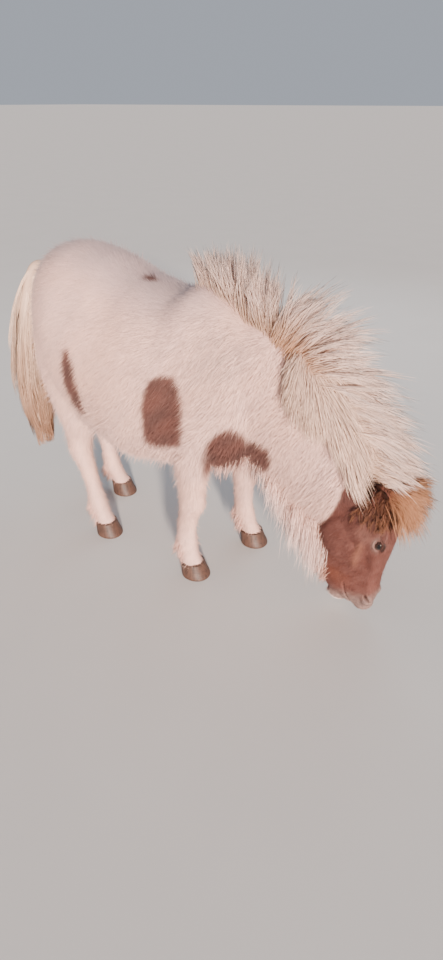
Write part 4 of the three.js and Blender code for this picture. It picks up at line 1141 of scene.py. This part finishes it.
def hanging(count, children):
    """Hairs of the far side, which hang from the crest and are shorter towards the poll."""
    t = np.sort(rng.uniform(0.16, 0.68, count))
    shrink = np.interp(t, (0.42, 0.68), (1, 0.62))
    size = rng.uniform(0.2, 0.3, count) * shrink
    parents = {
        "t": t,
        "run": size * rng.uniform(0.3, 0.6, count),
        "start": rng.uniform(60, 86, count),
        "end": rng.uniform(60, 86, count) + (rng.uniform(-18, 26, count) - 73) * shrink,
        "lift": rng.uniform(0.03, 0.07, count),
        "sag": rng.uniform(0.0, 0.03, count),
        "steep": np.full(count, 2.4),
    }
    spreads = {"t": 0.008, "run": 0.012, "start": 4.0, "end": 3.2, "lift": 0.005, "sag": 0.006}
    return lock_children(parents, children, spreads)


WHORL = np.array((0.245, -0.02, 0.845))


def whorled(root, tint):
    """The tint of roots: tan round the whorl of the crest."""
    near = np.exp(-((np.linalg.norm(root - WHORL, axis=1) / 0.085) ** 2))
    return mix(tint, MANE_WHORL, near)


def grow_lying(name, form, hairs, rings, root_tint, tip_tint, tile, nodes):
    """Hairs of locks that lie along a form. Their tips take a colour between the two of tip_tint, each at
    random or, on the tail, the more of the second the lower they end."""
    count = len(hairs["t"])
    wave = rng.normal(0, 0.004, count)
    paths = lying_paths(form, hairs, wave, rng.uniform(0, 6, count), rings)
    tone = rng.uniform(0, 1, count)
    if form is tail_core:
        tone = tone * 0.3 + 0.8 * smoothstep(0.35, 1.0, (hairs["t"] + hairs["run"]) / form.length)
    tip = mix(*tip_tint, np.clip(tone, 0, 1))
    ramp = smoothstep(0.02, 0.5, np.linspace(0, 1, rings + 1))[None]
    tints = mix(whorled(paths[:, 0], root_tint)[:, None], tip[:, None], ramp)
    tints = tints * (rng.uniform(0.9, 1.08, count) * hairs["tone"])[:, None, None]
    places = unwrap(tile, hairs["t"] / form.length, hairs["start"] / 360)
    soft = form.out(hairs["t"], np.radians(hairs["start"]))
    faces = unit(soft[:, None] + rng.normal(0, 0.5, (count, 1, 3)))
    long_hair(name, paths, LYING_WIDTH, tints, places, nodes, faces, soft)


hairs = hanging(125, 17)
# The far side's tips are greyed at random as painted shade
tips = MANE_SHAFT, MANE_SHADE_GREY
grow_lying("mane_left", mane_bed, hairs, 6, MANE_ROOT, tips, MANE_TILE, ("neck",))


# Rays from the whorl: degrees from the neck's line, and how far the mane reaches along each
WHORL_RAYS = np.array([
    (-12, 325), (0, 345), (9, 365), (13, 395), (17, 440), (19, 450), (21, 370), (24, 265), (40, 210),
    (55, 145), (68, 90),
])
# The whorl's place along the mane's bed, and the radius by which its side is unrolled
WHORL_PLACE = 0.229
SIDE_RADIUS = 0.12


def radial(count, children):
    """Hairs of the near side, which all lie away from the whorl. Over the unrolled side of the neck a hair
    starts some way from the whorl on a ray at phi from the neck's line, and runs along that ray."""
    phi = np.radians(rng.uniform(-12, 68, count))
    edge = np.interp(phi, np.radians(WHORL_RAYS[:, 0]), WHORL_RAYS[:, 1]) * MM
    size = rng.uniform(0.13, 0.22, count)
    size = np.minimum(size, np.maximum(edge, 0.07))
    start = np.maximum(edge - size, 0.0) * rng.uniform(0, 1, count) ** 0.7
    start = np.where(rng.random(count) < 0.3, np.maximum(edge - size, 0), start)
    size = np.minimum(size, edge - start) * rng.uniform(0.85, 1.08, count)
    turn = math.degrees(1 / SIDE_RADIUS)
    parents = {
        "t": WHORL_PLACE + start * np.cos(phi),
        "run": size * np.cos(phi),
        "start": 88 + start * np.sin(phi) * turn,
        "end": 88 + (start + size) * np.sin(phi) * turn,
        "lift": rng.uniform(0.016, 0.05, count),
        "sag": rng.uniform(0.0, 0.01, count),
        "steep": np.full(count, 2.4),
    }
    spreads = {"t": 0.008, "run": 0.012, "start": 4.0, "end": 3.2, "lift": 0.006, "sag": 0.004}
    return lock_children(parents, children, spreads)


hairs = radial(300, 17)
roots = mix(MANE_ROOT, WHITE, 0.75)
tips = MANE_SHAFT, mix(MANE_SHAFT, MANE_ROOT, 0.5)
grow_lying("mane_right", mane_bed, hairs, 5, roots, tips, MANE_TILE, ("neck",))


def free_hair(name, hairs, rings, width, tints, places, nodes, wave=0.0, children=1, lit=None):
    """Hairs that leave their root one way and are pulled another: p(u) = root + way L u + pull L u^2, with a
    bend that runs as sin(4.5u). They stay above the floor. Where lit is given, their soft normals are that
    way, its sideways part turned out on either side, plus 0.4 way."""
    root, way, pull, length = hairs
    count = len(root)
    u = np.linspace(0, 1, rings + 1)[None, :, None]
    size = length[:, None, None]
    paths = root[:, None] + way[:, None] * size * u + pull[:, None] * size * u * u
    bend = unit(np.cross(way, rng.normal(size=(count, 3))))[:, None]
    paths = paths + bend * (wave * rng.uniform(-1, 1, count))[:, None, None] * np.sin(u * 4.5)
    paths[..., 2] = np.maximum(paths[..., 2], 0.004 - SHIFT[2])
    tints = mix(*tints, smoothstep(0.0, 0.7, u[..., 0]))
    tone = np.repeat(rng.uniform(*LOCK_TONE, count // children), children)
    tints = tints * (rng.uniform(0.9, 1.08, count) * tone)[:, None, None]
    soft = None
    if lit is not None:
        side = np.clip(root[:, 1] / 0.02, -1, 1)
        soft = unit(np.array((lit[0], 0, lit[2])) + Y * side[:, None] * lit[1] + way * 0.4)
    long_hair(name, paths, width, tints, places, nodes, soft=soft)


def clumped(count, children, make, spread_root, spread_way, gathered=GATHERED, strays=STRAYS):
    """Locks of free hairs: the children of a lock start apart and keep near one another."""
    root, way, pull, length = make(count)
    root, way, pull = (np.repeat(v, children, axis=0) for v in (root, way, pull))
    length = np.repeat(length, children) * rng.uniform(0.72, 1.05, count * children)
    apart = rng.normal(0, 1, root.shape) * spread_root
    stray = np.where(rng.random(len(root)) < strays, 2.5, 1.0)[:, None]
    way = unit(way - apart / length[:, None] * gathered + rng.normal(0, 1, way.shape) * spread_way * stray)
    return root + apart, way, pull, length


def vectors(count, *parts):
    """One vector for each hair. A part is a value, a value for each hair, or a span to draw it from."""
    drawn = [rng.uniform(*part, count) if isinstance(part, tuple) else part for part in parts]
    return np.stack(np.broadcast_arrays(*drawn, np.zeros(count))[:3], axis=1)


crest_line = np.vstack([CREST_START, neck.point(neck.along, math.pi / 2)])
crest = smooth_through(crest_line[:, 0], crest_line[:, 2:])


def withers_fan(count):
    """Hairs that stand up behind the withers, leaning back at first and straight up by the neck."""
    x = rng.uniform(-0.06, 0.158, count)
    share = (x + 0.06) / 0.225
    root = vectors(count, x, (-0.03, 0.028), crest(x)[:, 0] - 0.022)
    lean = np.interp(share, (0, 0.5, 1), (-0.44, -0.17, 0.02)) + rng.normal(0, 0.08, count)
    way = unit(vectors(count, lean, (-0.3, 0.35), 1))
    pull = vectors(count, (-0.1, 0.1), (-0.05, 0.15), -0.1)
    length = np.interp(share, (0, 0.3, 0.6, 1), (0.125, 0.172, 0.206, 0.15)) * rng.uniform(0.8, 1.08, count)
    return root, way, pull, length


def crest_spray(count):
    """Hairs that spring from the crest, up by the withers and ever more forward towards the poll."""
    share = rng.uniform(0, 1, count) ** 1.15
    x = 0.178 + 0.345 * share
    root = vectors(count, x, (-0.034, 0.034), crest(x)[:, 0] - 0.02)
    ahead = np.interp(share, (0, 0.12, 0.35, 1), (0.12, 0.42, 0.72, 0.72)) + rng.uniform(-0.1, 0.1, count)
    stops = (0, 0.12, 0.35, 0.6, 1)
    up = np.interp(share, stops, (0.95, 0.72, 0.24, 0.12, -0.03)) + rng.uniform(-0.14, 0.17, count)
    way = unit(vectors(count, ahead, (-0.1, 0.62), up))
    pull = vectors(count, (0, 0.15), (0, 0.1), (0.25, 0.5)) * (1, 1, -1)
    length = np.interp(share, stops, (0.22, 0.26, 0.222, 0.19, 0.14)) * rng.uniform(0.72, 1.1, count)
    return root, way, pull, length


for name, grow, count in (("mane_withers", withers_fan, 190), ("mane_spray", crest_spray, 300)):
    hairs = clumped(count, 16, grow, (0.011, 0.009, 0.004), 0.02, 0.95, 0.08)
    root = hairs[0]
    # Tips greyed at random as painted shade
    tips = mix(MANE_SHAFT, MANE_SHADE_GREY, rng.uniform(0, 1, len(root)))[:, None]
    places = unwrap(MANE_TILE, np.clip(root[:, 0] + 0.1, 0, 0.7) * 1.4, root[:, 1] * 4 + 0.25)
    free_hair(name, hairs, 5, 0.0022, (whorled(root, MANE_ROOT)[:, None], tips), places,
              ("neck", "torso"), wave=0.009, children=16, lit=(0.15, 0.5, 1.0))


def forelock(count):
    """Hairs that fan out forward from the poll and fall over the brow."""
    across = rng.uniform(-1, 1, count)
    root = on_head(rng.uniform(0.0, 0.034, count), rng.uniform(-0.004, 0.012, count), across * 0.032)
    way = unit(vectors(count, (0.7, 1), across * 0.75, (-0.25, 0.7)))
    pull = vectors(count, -0.05, across * 0.08, (0.3, 0.65)) * (1, 1, -1)
    return root, way, pull, rng.uniform(0.108, 0.13, count)


hairs = clumped(170, 14, forelock, 0.006, 0.035, strays=0.03)
places = unwrap(FORELOCK_TILE, np.clip(0.5 + hairs[0][:, 1] * 8, 0, 1), hairs[0][:, 2])
# Dark brown roots, partly as painted shade, and orange-tan towards the tips
free_hair("forelock", hairs, 5, 0.0021, (FORELOCK_ROOT, FORELOCK_TIP), places, ("head",),
          wave=0.004, children=14, lit=(0.3, 0.6, 0.7))


def poll_hair(count):
    """Bushy hair round the root of each ear and over the temples: it falls forward and down over the brow."""
    side = rng.choice((-1, 1), count)
    down = rng.uniform(0.002, 0.07, count)
    angle = np.radians(rng.uniform(-30, 62, count))
    angle = np.where(side > 0, angle, math.pi - angle)
    out = head.out(down, angle)
    away = out * rng.uniform(0.5, 1.0, count)[:, None]
    way = unit(away + HEAD_AXIS * 0.75 + rng.normal(0, 0.22, (count, 3)))
    pull = vectors(count, (-0.1, 0.2), side * -0.1, (0.2, 0.5)) * (1, 1, -1)
    return head.point(down, angle, -0.004), way, pull, rng.uniform(0.02, 0.038, count)


hairs = clumped(230, 12, poll_hair, 0.005, 0.09)
places = unwrap(FORELOCK_TILE, np.clip(0.5 + hairs[0][:, 1] * 6, 0, 1), hairs[0][:, 2] * 1.7)
tints = mix(DARK_CHESTNUT, FORELOCK_ROOT, 0.5), mix(FORELOCK_ROOT, FORELOCK_TIP, 0.3)
free_hair("poll_hair", hairs, 4, 0.0018, tints, places, ("head",), wave=0.004, children=12)


def under(form, along, around, deep, stand, fall, pull, length, origin=0.0):
    """How to grow hairs under a form: rooted deep in it, they leave it by out times stand plus fall. Their
    places lie along the form from its start or, where origin is its length, back from its end."""

    def grow(count):
        t = np.abs(origin - rng.uniform(*along, count))
        angle = np.radians(rng.uniform(*around, count))
        way = unit(form.out(t, angle) * stand + vectors(count, *fall))
        pulled = vectors(count, *pull)
        return form.point(t, angle, -deep), way, pulled, rng.uniform(*length, count)

    return grow


def fringe(count):
    """Hairs under the throat, longer towards the head."""
    t = rng.uniform(0.36, 0.665, count)
    angle = np.radians(rng.uniform(-128, -52, count))
    way = unit(neck.out(t, angle) * 0.3 + vectors(count, (-0.08, 0.2), 0, -0.9))
    pull = vectors(count, (0, 0.12), 0, -0.1)
    pull[:, 1] = rng.normal(0, 0.03, count)
    length = (0.045 + 0.18 * ((t - 0.36) / 0.305) ** 1.15) * rng.uniform(0.75, 1.1, count) + 0.014
    return neck.point(t, angle, -0.014), way, pull, length


hairs = clumped(190, 13, fringe, 0.013, 0.06, gathered=0.3)
places = unwrap(FRINGE_TILE, (hairs[0][:, 0] - 0.1) * 2, hairs[0][:, 2])
tints = mix(WHITE, CREAM, 0.3), mix(WHITE, LIP, 0.5)
free_hair("throat_fringe", hairs, 4, 0.0016, tints, places, ("neck",), wave=0.004,
          lit=(0.5, 0.7, 0.5))

grow = under(head, along=(0.14, 0.372), around=(-128, -52), deep=0.010, stand=0.55,
             fall=((-0.15, 0.05), 0, -0.8), pull=(0.12, 0, -0.1), length=(0.03, 0.075))
hairs = clumped(60, 12, grow, 0.007, 0.07)
places = unwrap(FRINGE_TILE, (hairs[0][:, 0] - 0.1) * 2, hairs[0][:, 2] + 0.4)
tints = mix(CHESTNUT, CREAM, 0.5), mix(BRIGHT_CHESTNUT, CREAM, 0.85)
free_hair("jaw_hair", hairs, 4, 0.0016, tints, places, ("head",), wave=0.003)

grow = under(torso, along=(0.76, 0.9), around=(-120, -60), deep=0.014, stand=0.5, fall=(-0.15, 0, -0.6),
             pull=(-0.05, 0, -0.15), length=(0.045, 0.07))
hairs = clumped(50, 12, grow, 0.008, 0.08)
places = unwrap(FRINGE_TILE, hairs[0][:, 0] + 0.3, hairs[0][:, 1] + 0.5)
tints = mix(WHITE, CREAM, 0.4), WHITE
free_hair("breast_hair", hairs, 4, 0.0022, tints, places, ("torso",), wave=0.003)

for number, (leg_name, leg) in enumerate(legs.items()):
    grow = under(leg, along=(0.03, 0.085), around=(-175, -5), deep=0.008, stand=0.36, fall=(-0.05, 0, -0.85),
                 pull=(0, 0, -0.05), length=(0.03, 0.058), origin=leg.length)
    hairs = clumped(46, 10, grow, 0.004, 0.07)
    places = unwrap(FEATHER_TILE, number / 4 + hairs[3] * 2, (hairs[0][:, 1] * 4) % 1)
    tints = WHITE, mix(WHITE, CREAM, 0.3)
    free_hair("feather_" + leg_name, hairs, 3, 0.0018, tints, places, (leg_name,))


# Tail

tail_points, tail_triangles = tail_core.closed(40, 90, -0.012, 0.3)
tail_body = add_mesh("tail_core", tail_points, tail_triangles, mix(TAIL_TOP, TAIL_LOW, 0.4))
finish_piece(tail_body, LONG_HAIR, ("tail",))


def tail_hairs(count, children):
    """Hairs all round the tail's core, shorter down the tail and none much past its end."""
    share = rng.uniform(0.08, 0.82, count) ** 0.9
    length = rng.uniform(0.23, 0.42, count) * (1.15 - 0.5 * share)
    around = rng.uniform(0, 360, count)
    parents = {
        "t": share * tail_core.length,
        "run": np.minimum(length, tail_core.length * (rng.uniform(0.84, 1.04, count) - share)),
        "start": around,
        "end": around + rng.uniform(-22, 22, count),
        "lift": rng.uniform(0.004, 0.03, count),
        "sag": rng.uniform(0, 0.02, count),
        "steep": np.full(count, 1.6),
    }
    return lock_children(parents, children, {"t": 0.006, "run": 0.012, "start": 7, "end": 7, "lift": 0.004})


hairs = tail_hairs(170, 16)
tips = TAIL_TOP, TAIL_LOW
grow_lying("tail_hair", tail_core, hairs, 6, TAIL_TOP, tips, TAIL_TILE, ("tail",))


# Hooves

# Sections of a hoof: share of its height, how far forward, and half width, front and back against the leg's
HOOF = np.array([
    (1, 0, 1, 1, 1),
    (0.55, 5, 1.08, 1.12, 1.02),
    (0.06, 11, 1.19, 1.29, 1.06),
    (0, 12, 1.17, 1.27, 1.04),
])
CORONET = 51.7 * MM
for leg_name, leg in legs.items():
    half, front, back = leg.curve(leg.length)[3:]
    top = leg.middle(leg.length)
    at = np.column_stack([top[0] + HOOF[:, 1] * MM, np.full(len(HOOF), top[1]), CORONET * HOOF[:, 0]])
    half, front, back = half * HOOF[:, 2], front * HOOF[:, 3], back * HOOF[:, 4]
    form = Form(at, half, front, back, facing=(0, 0, -1), squareness=2.1)
    points, triangles = form.closed(56, 36, 0.0, 0.0)
    place_name = leg_name.replace("leg", "")
    hoof = add_mesh("horn_" + place_name, points, triangles)
    finish_piece(hoof, HORN, ("hoof_" + place_name,))


# Eyes and lids

def eyeball(side):
    """Ball with its pole on the way it looks, coloured by rings from the pupil out."""
    centre, look, nasal, brow = eye_axes(side)
    points, triangles = ball(centre, (look, nasal, brow), [EYE_RADIUS * 0.985] * 3, 48, 64)
    q = (points - centre) / EYE_RADIUS
    n, b = q @ nasal, q @ brow
    pupil = smoothstep(1.15, 0.85, np.hypot(n / 0.44, b / 0.26))
    iris = smoothstep(0.86, 0.74, np.hypot(n, b))
    colour = mix(mix(srgb(34, 22, 18), srgb(44, 24, 15), iris), srgb(6, 5, 7), pupil)
    return points, triangles, colour


def lid_arc(side, way, opening, a, clear):
    """Points clear of the ball on an arc from nose to ear, raised towards the brow or, with way -1, lowered:
    p(a) = centre + (nasal cos a + over sin a) r, where over is opening degrees out of the lid's own plane."""
    centre, look, nasal, brow = eye_axes(side)
    tilt = math.radians(opening)
    over = brow * way * math.cos(tilt) + look * math.sin(tilt)
    return centre + (nasal * np.cos(a)[:, None] + over * np.sin(a)[:, None]) * (EYE_RADIUS + clear)


def bead(points, radii, sides=12):
    """Round bead of given radii along points."""
    tangent = unit(np.gradient(points, axis=0))
    hint = np.where(np.abs(tangent[:, 1:2]) < 0.9, Y, np.array((1.0, 0, 0)))
    side = unit(hint - tangent * dot(hint, tangent)[:, None])
    front = np.cross(tangent, side)
    a = np.linspace(0, 2 * math.pi, sides, endpoint=False)[None, :, None]
    rings = points[:, None] + (side[:, None] * np.cos(a) + front[:, None] * np.sin(a)) * radii[:, None, None]
    return tube_surface(rings, points[[0, -1]])


# Lids: up or down, degrees open, thickness and colour
# The lower lid's pale grey is painted highlight
LIDS = {"upper": (1, 38, 0.0042, srgb(70, 46, 40)), "lower": (-1, 31, 0.0032, srgb(140, 108, 98))}
LASHES = 70
for side_name, side in SIDES.items():
    eye = add_mesh("eyeball_" + side_name, *eyeball(side))
    finish_piece(eye, EYE, ("eye_" + side_name,))
    a = np.linspace(0.0, math.pi, 41)
    for lid_name, (way, opening, thick, colour) in LIDS.items():
        points, triangles = bead(lid_arc(side, way, opening, a, 0.0006), thick * (0.45 + 0.55 * np.sin(a)))
        lid = add_mesh(f"lid_{lid_name}_{side_name}", points, triangles, colour)
        finish_piece(lid, LID_SKIN, ("head",))
    a = np.linspace(0.35, math.pi - 0.25, LASHES) + rng.normal(0, 0.02, LASHES)
    root = lid_arc(side, *LIDS["upper"][:2], a, 0.003)
    _, look, nasal, brow = eye_axes(side)
    way = unit(look + brow * 0.1 + nasal * np.cos(a)[:, None] * 0.5 + rng.normal(0, 0.08, (LASHES, 3)))
    pull = np.broadcast_to(-brow * 0.5, (LASHES, 3))
    hairs = root, way, pull, rng.uniform(0.009, 0.013, LASHES)
    places = unwrap(EAR_TILE, a / 7, 0.2 * np.ones(LASHES))
    tints = LASH_ROOT, LASH_TIP
    free_hair("lashes_" + side_name, hairs, 3, 0.0006, tints, places, ("head",))


# Ears

EAR_ROOT = (42 * MM, -4 * MM, 44 * MM)
EAR_LENGTH, EAR_HALF, EAR_WALL = 84 * MM, 24 * MM, 4.5 * MM
# Sections of the ear: share of its length, and shares of its half width across and deep
EAR_SHAPE = np.array([
    (-0.12, 0.5, 0.5), (0.0, 0.66, 0.62), (0.14, 0.84, 0.7), (0.38, 1, 0.62), (0.66, 0.8, 0.46),
    (0.86, 0.44, 0.28), (0.97, 0.14, 0.12), (1.0, 0.05, 0.05),
])
EAR_HAIRS = 1500


def ear_axes(side):
    """An ear's root, the way it points and the way it opens."""
    up = unit(-0.93 * HEAD_AXIS + np.array((-0.12, side * 0.36, 0)))
    opening = HEAD_FRONT * 0.5 + Y * side * 0.85
    return on_head(EAR_ROOT[0], EAR_ROOT[1], side * EAR_ROOT[2]), up, unit(opening - up * (opening @ up))


def ear_surface(side):
    """Leaf whose section is a crescent: an outer bow, -1.5 deep sin v, and an inner bow a wall's thickness
    inside it, so that the ear is a cup open to the front and side. Below the cup the inner bow closes the
    stem. With the points and triangles come whether each point lies inside, and its share of the length."""
    root, up, opening = ear_axes(side)
    s = np.linspace(EAR_SHAPE[0, 0], 1.0, 50)
    half, deep = (smooth_through(EAR_SHAPE[:, 0], EAR_SHAPE[:, 1:])(s) * EAR_HALF).T[..., None]
    v = np.linspace(0, 2 * math.pi, 48, endpoint=False)[None]
    inner = v > math.pi
    wall = np.minimum(EAR_WALL, half * 0.5)
    cup = smoothstep(0.0, 0.2, s)[:, None]
    across, sn = np.cos(v), np.sin(v)
    width = np.where(inner, half - wall, half)
    bow = np.where(inner, cup * (deep * 1.5 - wall) * sn + (1 - cup) * deep * -0.6 * sn, -deep * 1.5 * sn)
    bow = bow + 0.35 * deep * np.abs(across) ** 3 - 0.01 * np.sin(s * math.pi)[:, None]
    sideways = np.cross(up, opening) * (across * width)[..., None]
    points = root + up * (s * EAR_LENGTH)[:, None, None] + sideways + opening * bow[..., None]
    poles = np.array([root + up * EAR_SHAPE[0, 0] * EAR_LENGTH, root + up * EAR_LENGTH * 1.01])
    inside = np.append(np.broadcast_to(inner, points.shape[:2]).ravel(), [False, False])
    return *tube_surface(points, poles), inside, np.append(np.repeat(s, v.size), [0, 1])


for side_name, side in SIDES.items():
    points, triangles, inside, share = ear_surface(side)
    colour = mix(CHESTNUT, DARK_CHESTNUT, smoothstep(0.5, 1.0, share))
    # The cup's inner side is darkened as painted shade
    ear = add_mesh("ear_skin_" + side_name, points, triangles, mix(colour, EAR_INSIDE, 0.8 * inside))
    finish_piece(ear, FACE_COAT, ("ear_" + side_name,))
    face = triangles[rng.integers(0, len(triangles), EAR_HAIRS)]
    weights = rng.dirichlet((1, 1, 1), EAR_HAIRS)
    root = np.einsum("ij,ijk->ik", weights, points[face])
    normal = unit(np.einsum("ij,ijk->ik", weights, vertex_normals(points, triangles)[face]))
    _, up, opening = ear_axes(side)
    in_cup = inside[face].all(axis=1)
    outwards = normal * 0.25 + np.where(in_cup[:, None], opening * 0.9, 0)
    way = unit(up + outwards + rng.normal(0, 0.15, (EAR_HAIRS, 3)))
    length = np.where(in_cup, 0.026, 0.019) * rng.uniform(0.6, 1.3, EAR_HAIRS)
    tone = np.where(in_cup[:, None], FORELOCK_ROOT, mix(CHESTNUT, FORELOCK_ROOT, 0.5))
    u = np.linspace(0, 1, 4)[None, :, None]
    paths = root[:, None] - normal[:, None] * MM + way[:, None] * length[:, None, None] * u
    widths = np.full((EAR_HAIRS, 3), 0.0016) * np.array((1, 0.8, 0.5))
    tints = np.broadcast_to(tone[:, None], (EAR_HAIRS, 4, 3))
    places = unwrap(EAR_TILE, weights[:, 0], weights[:, 1])
    hair = hair_mesh("ear_hair_" + side_name, paths, widths, normal[:, None], tints, places, normal, 0.6)
    finish_piece(hair, FACE_COAT, ("ear_" + side_name,))


# Floor, light and camera

def floor(size=200.0):
    """Plain pale floor, so wide that its edge lies out of the picture."""
    mesh = bpy.data.meshes.new("floor")
    corners = [(x * size, y * size, 0) for x, y in ((-1, -1), (1, -1), (1, 1), (-1, 1))]
    mesh.from_pydata(corners, [], [(0, 1, 2, 3)])
    thing = bpy.data.objects.new("floor", mesh)
    bpy.context.scene.collection.objects.link(thing)
    material, tree, shader = new_material("floor", {"Roughness": 0.9})
    place = add_node(tree, "TexCoord")
    noise = add_node(tree, "TexNoise", {"Scale": 3})
    ramp = colour_ramp(tree, (0, (0.66, 0.65, 0.63)), (1, (0.70, 0.69, 0.67)))
    wire(tree, (place, "Object", noise, "Vector"), (noise, 0, ramp, "Fac"),
         (ramp, "Color", shader, "Base Color"))
    thing.data.materials.append(material)


def light(name, kind, place, aim, power, colour, **settings):
    """A light at a place, turned to what it is aimed at."""
    lamp = bpy.data.lights.new(name, kind)
    lamp.energy = power
    lamp.color = colour
    for key, value in settings.items():
        setattr(lamp, key, value)
    thing = bpy.data.objects.new(name, lamp)
    thing.location = Vector(SHIFT) + Vector(place)
    thing.rotation_euler = (Vector(aim) - Vector(place)).to_track_quat("-Z", "Y").to_euler()
    bpy.context.scene.collection.objects.link(thing)


floor()
light("key", "SUN", place=(2.5, -2.6, 1.35), aim=(-0.05, 0, 0.5), power=9.6, colour=(1.0, 0.83, 0.72),
      angle=math.radians(5))
light("back", "AREA", place=(-0.8, 3.0, 2.6), aim=(0, 0, 0.6), power=30, colour=(0.88, 0.93, 1.0),
      shape="DISK", size=2.4)
world = bpy.data.worlds.new("room")
bpy.context.scene.world = world
world.use_nodes = True
sky = world.node_tree.nodes["Background"].inputs
sky["Color"].default_value = (0.82, 0.88, 1.0, 1)
sky["Strength"].default_value = 0.5

CAMERA_PLACE = np.array((0.924, -1.404, 1.400))
CAMERA_PITCH = math.radians(32.6)
CAMERA_HEADING = (-0.555, 0.832)
CAMERA_LENS, SENSOR_WIDTH = 22.275, 36
camera_data = bpy.data.cameras.new("camera")
camera_data.lens = CAMERA_LENS
camera_data.sensor_width = SENSOR_WIDTH
camera_data.clip_start = 0.05
camera = bpy.data.objects.new("camera", camera_data)
level = math.cos(CAMERA_PITCH)
look = Vector((CAMERA_HEADING[0] * level, CAMERA_HEADING[1] * level, -math.sin(CAMERA_PITCH)))
camera.location = Vector(SHIFT + CAMERA_PLACE)
camera.rotation_euler = look.to_track_quat("-Z", "Y").to_euler()
bpy.context.scene.collection.objects.link(camera)
bpy.context.scene.camera = camera
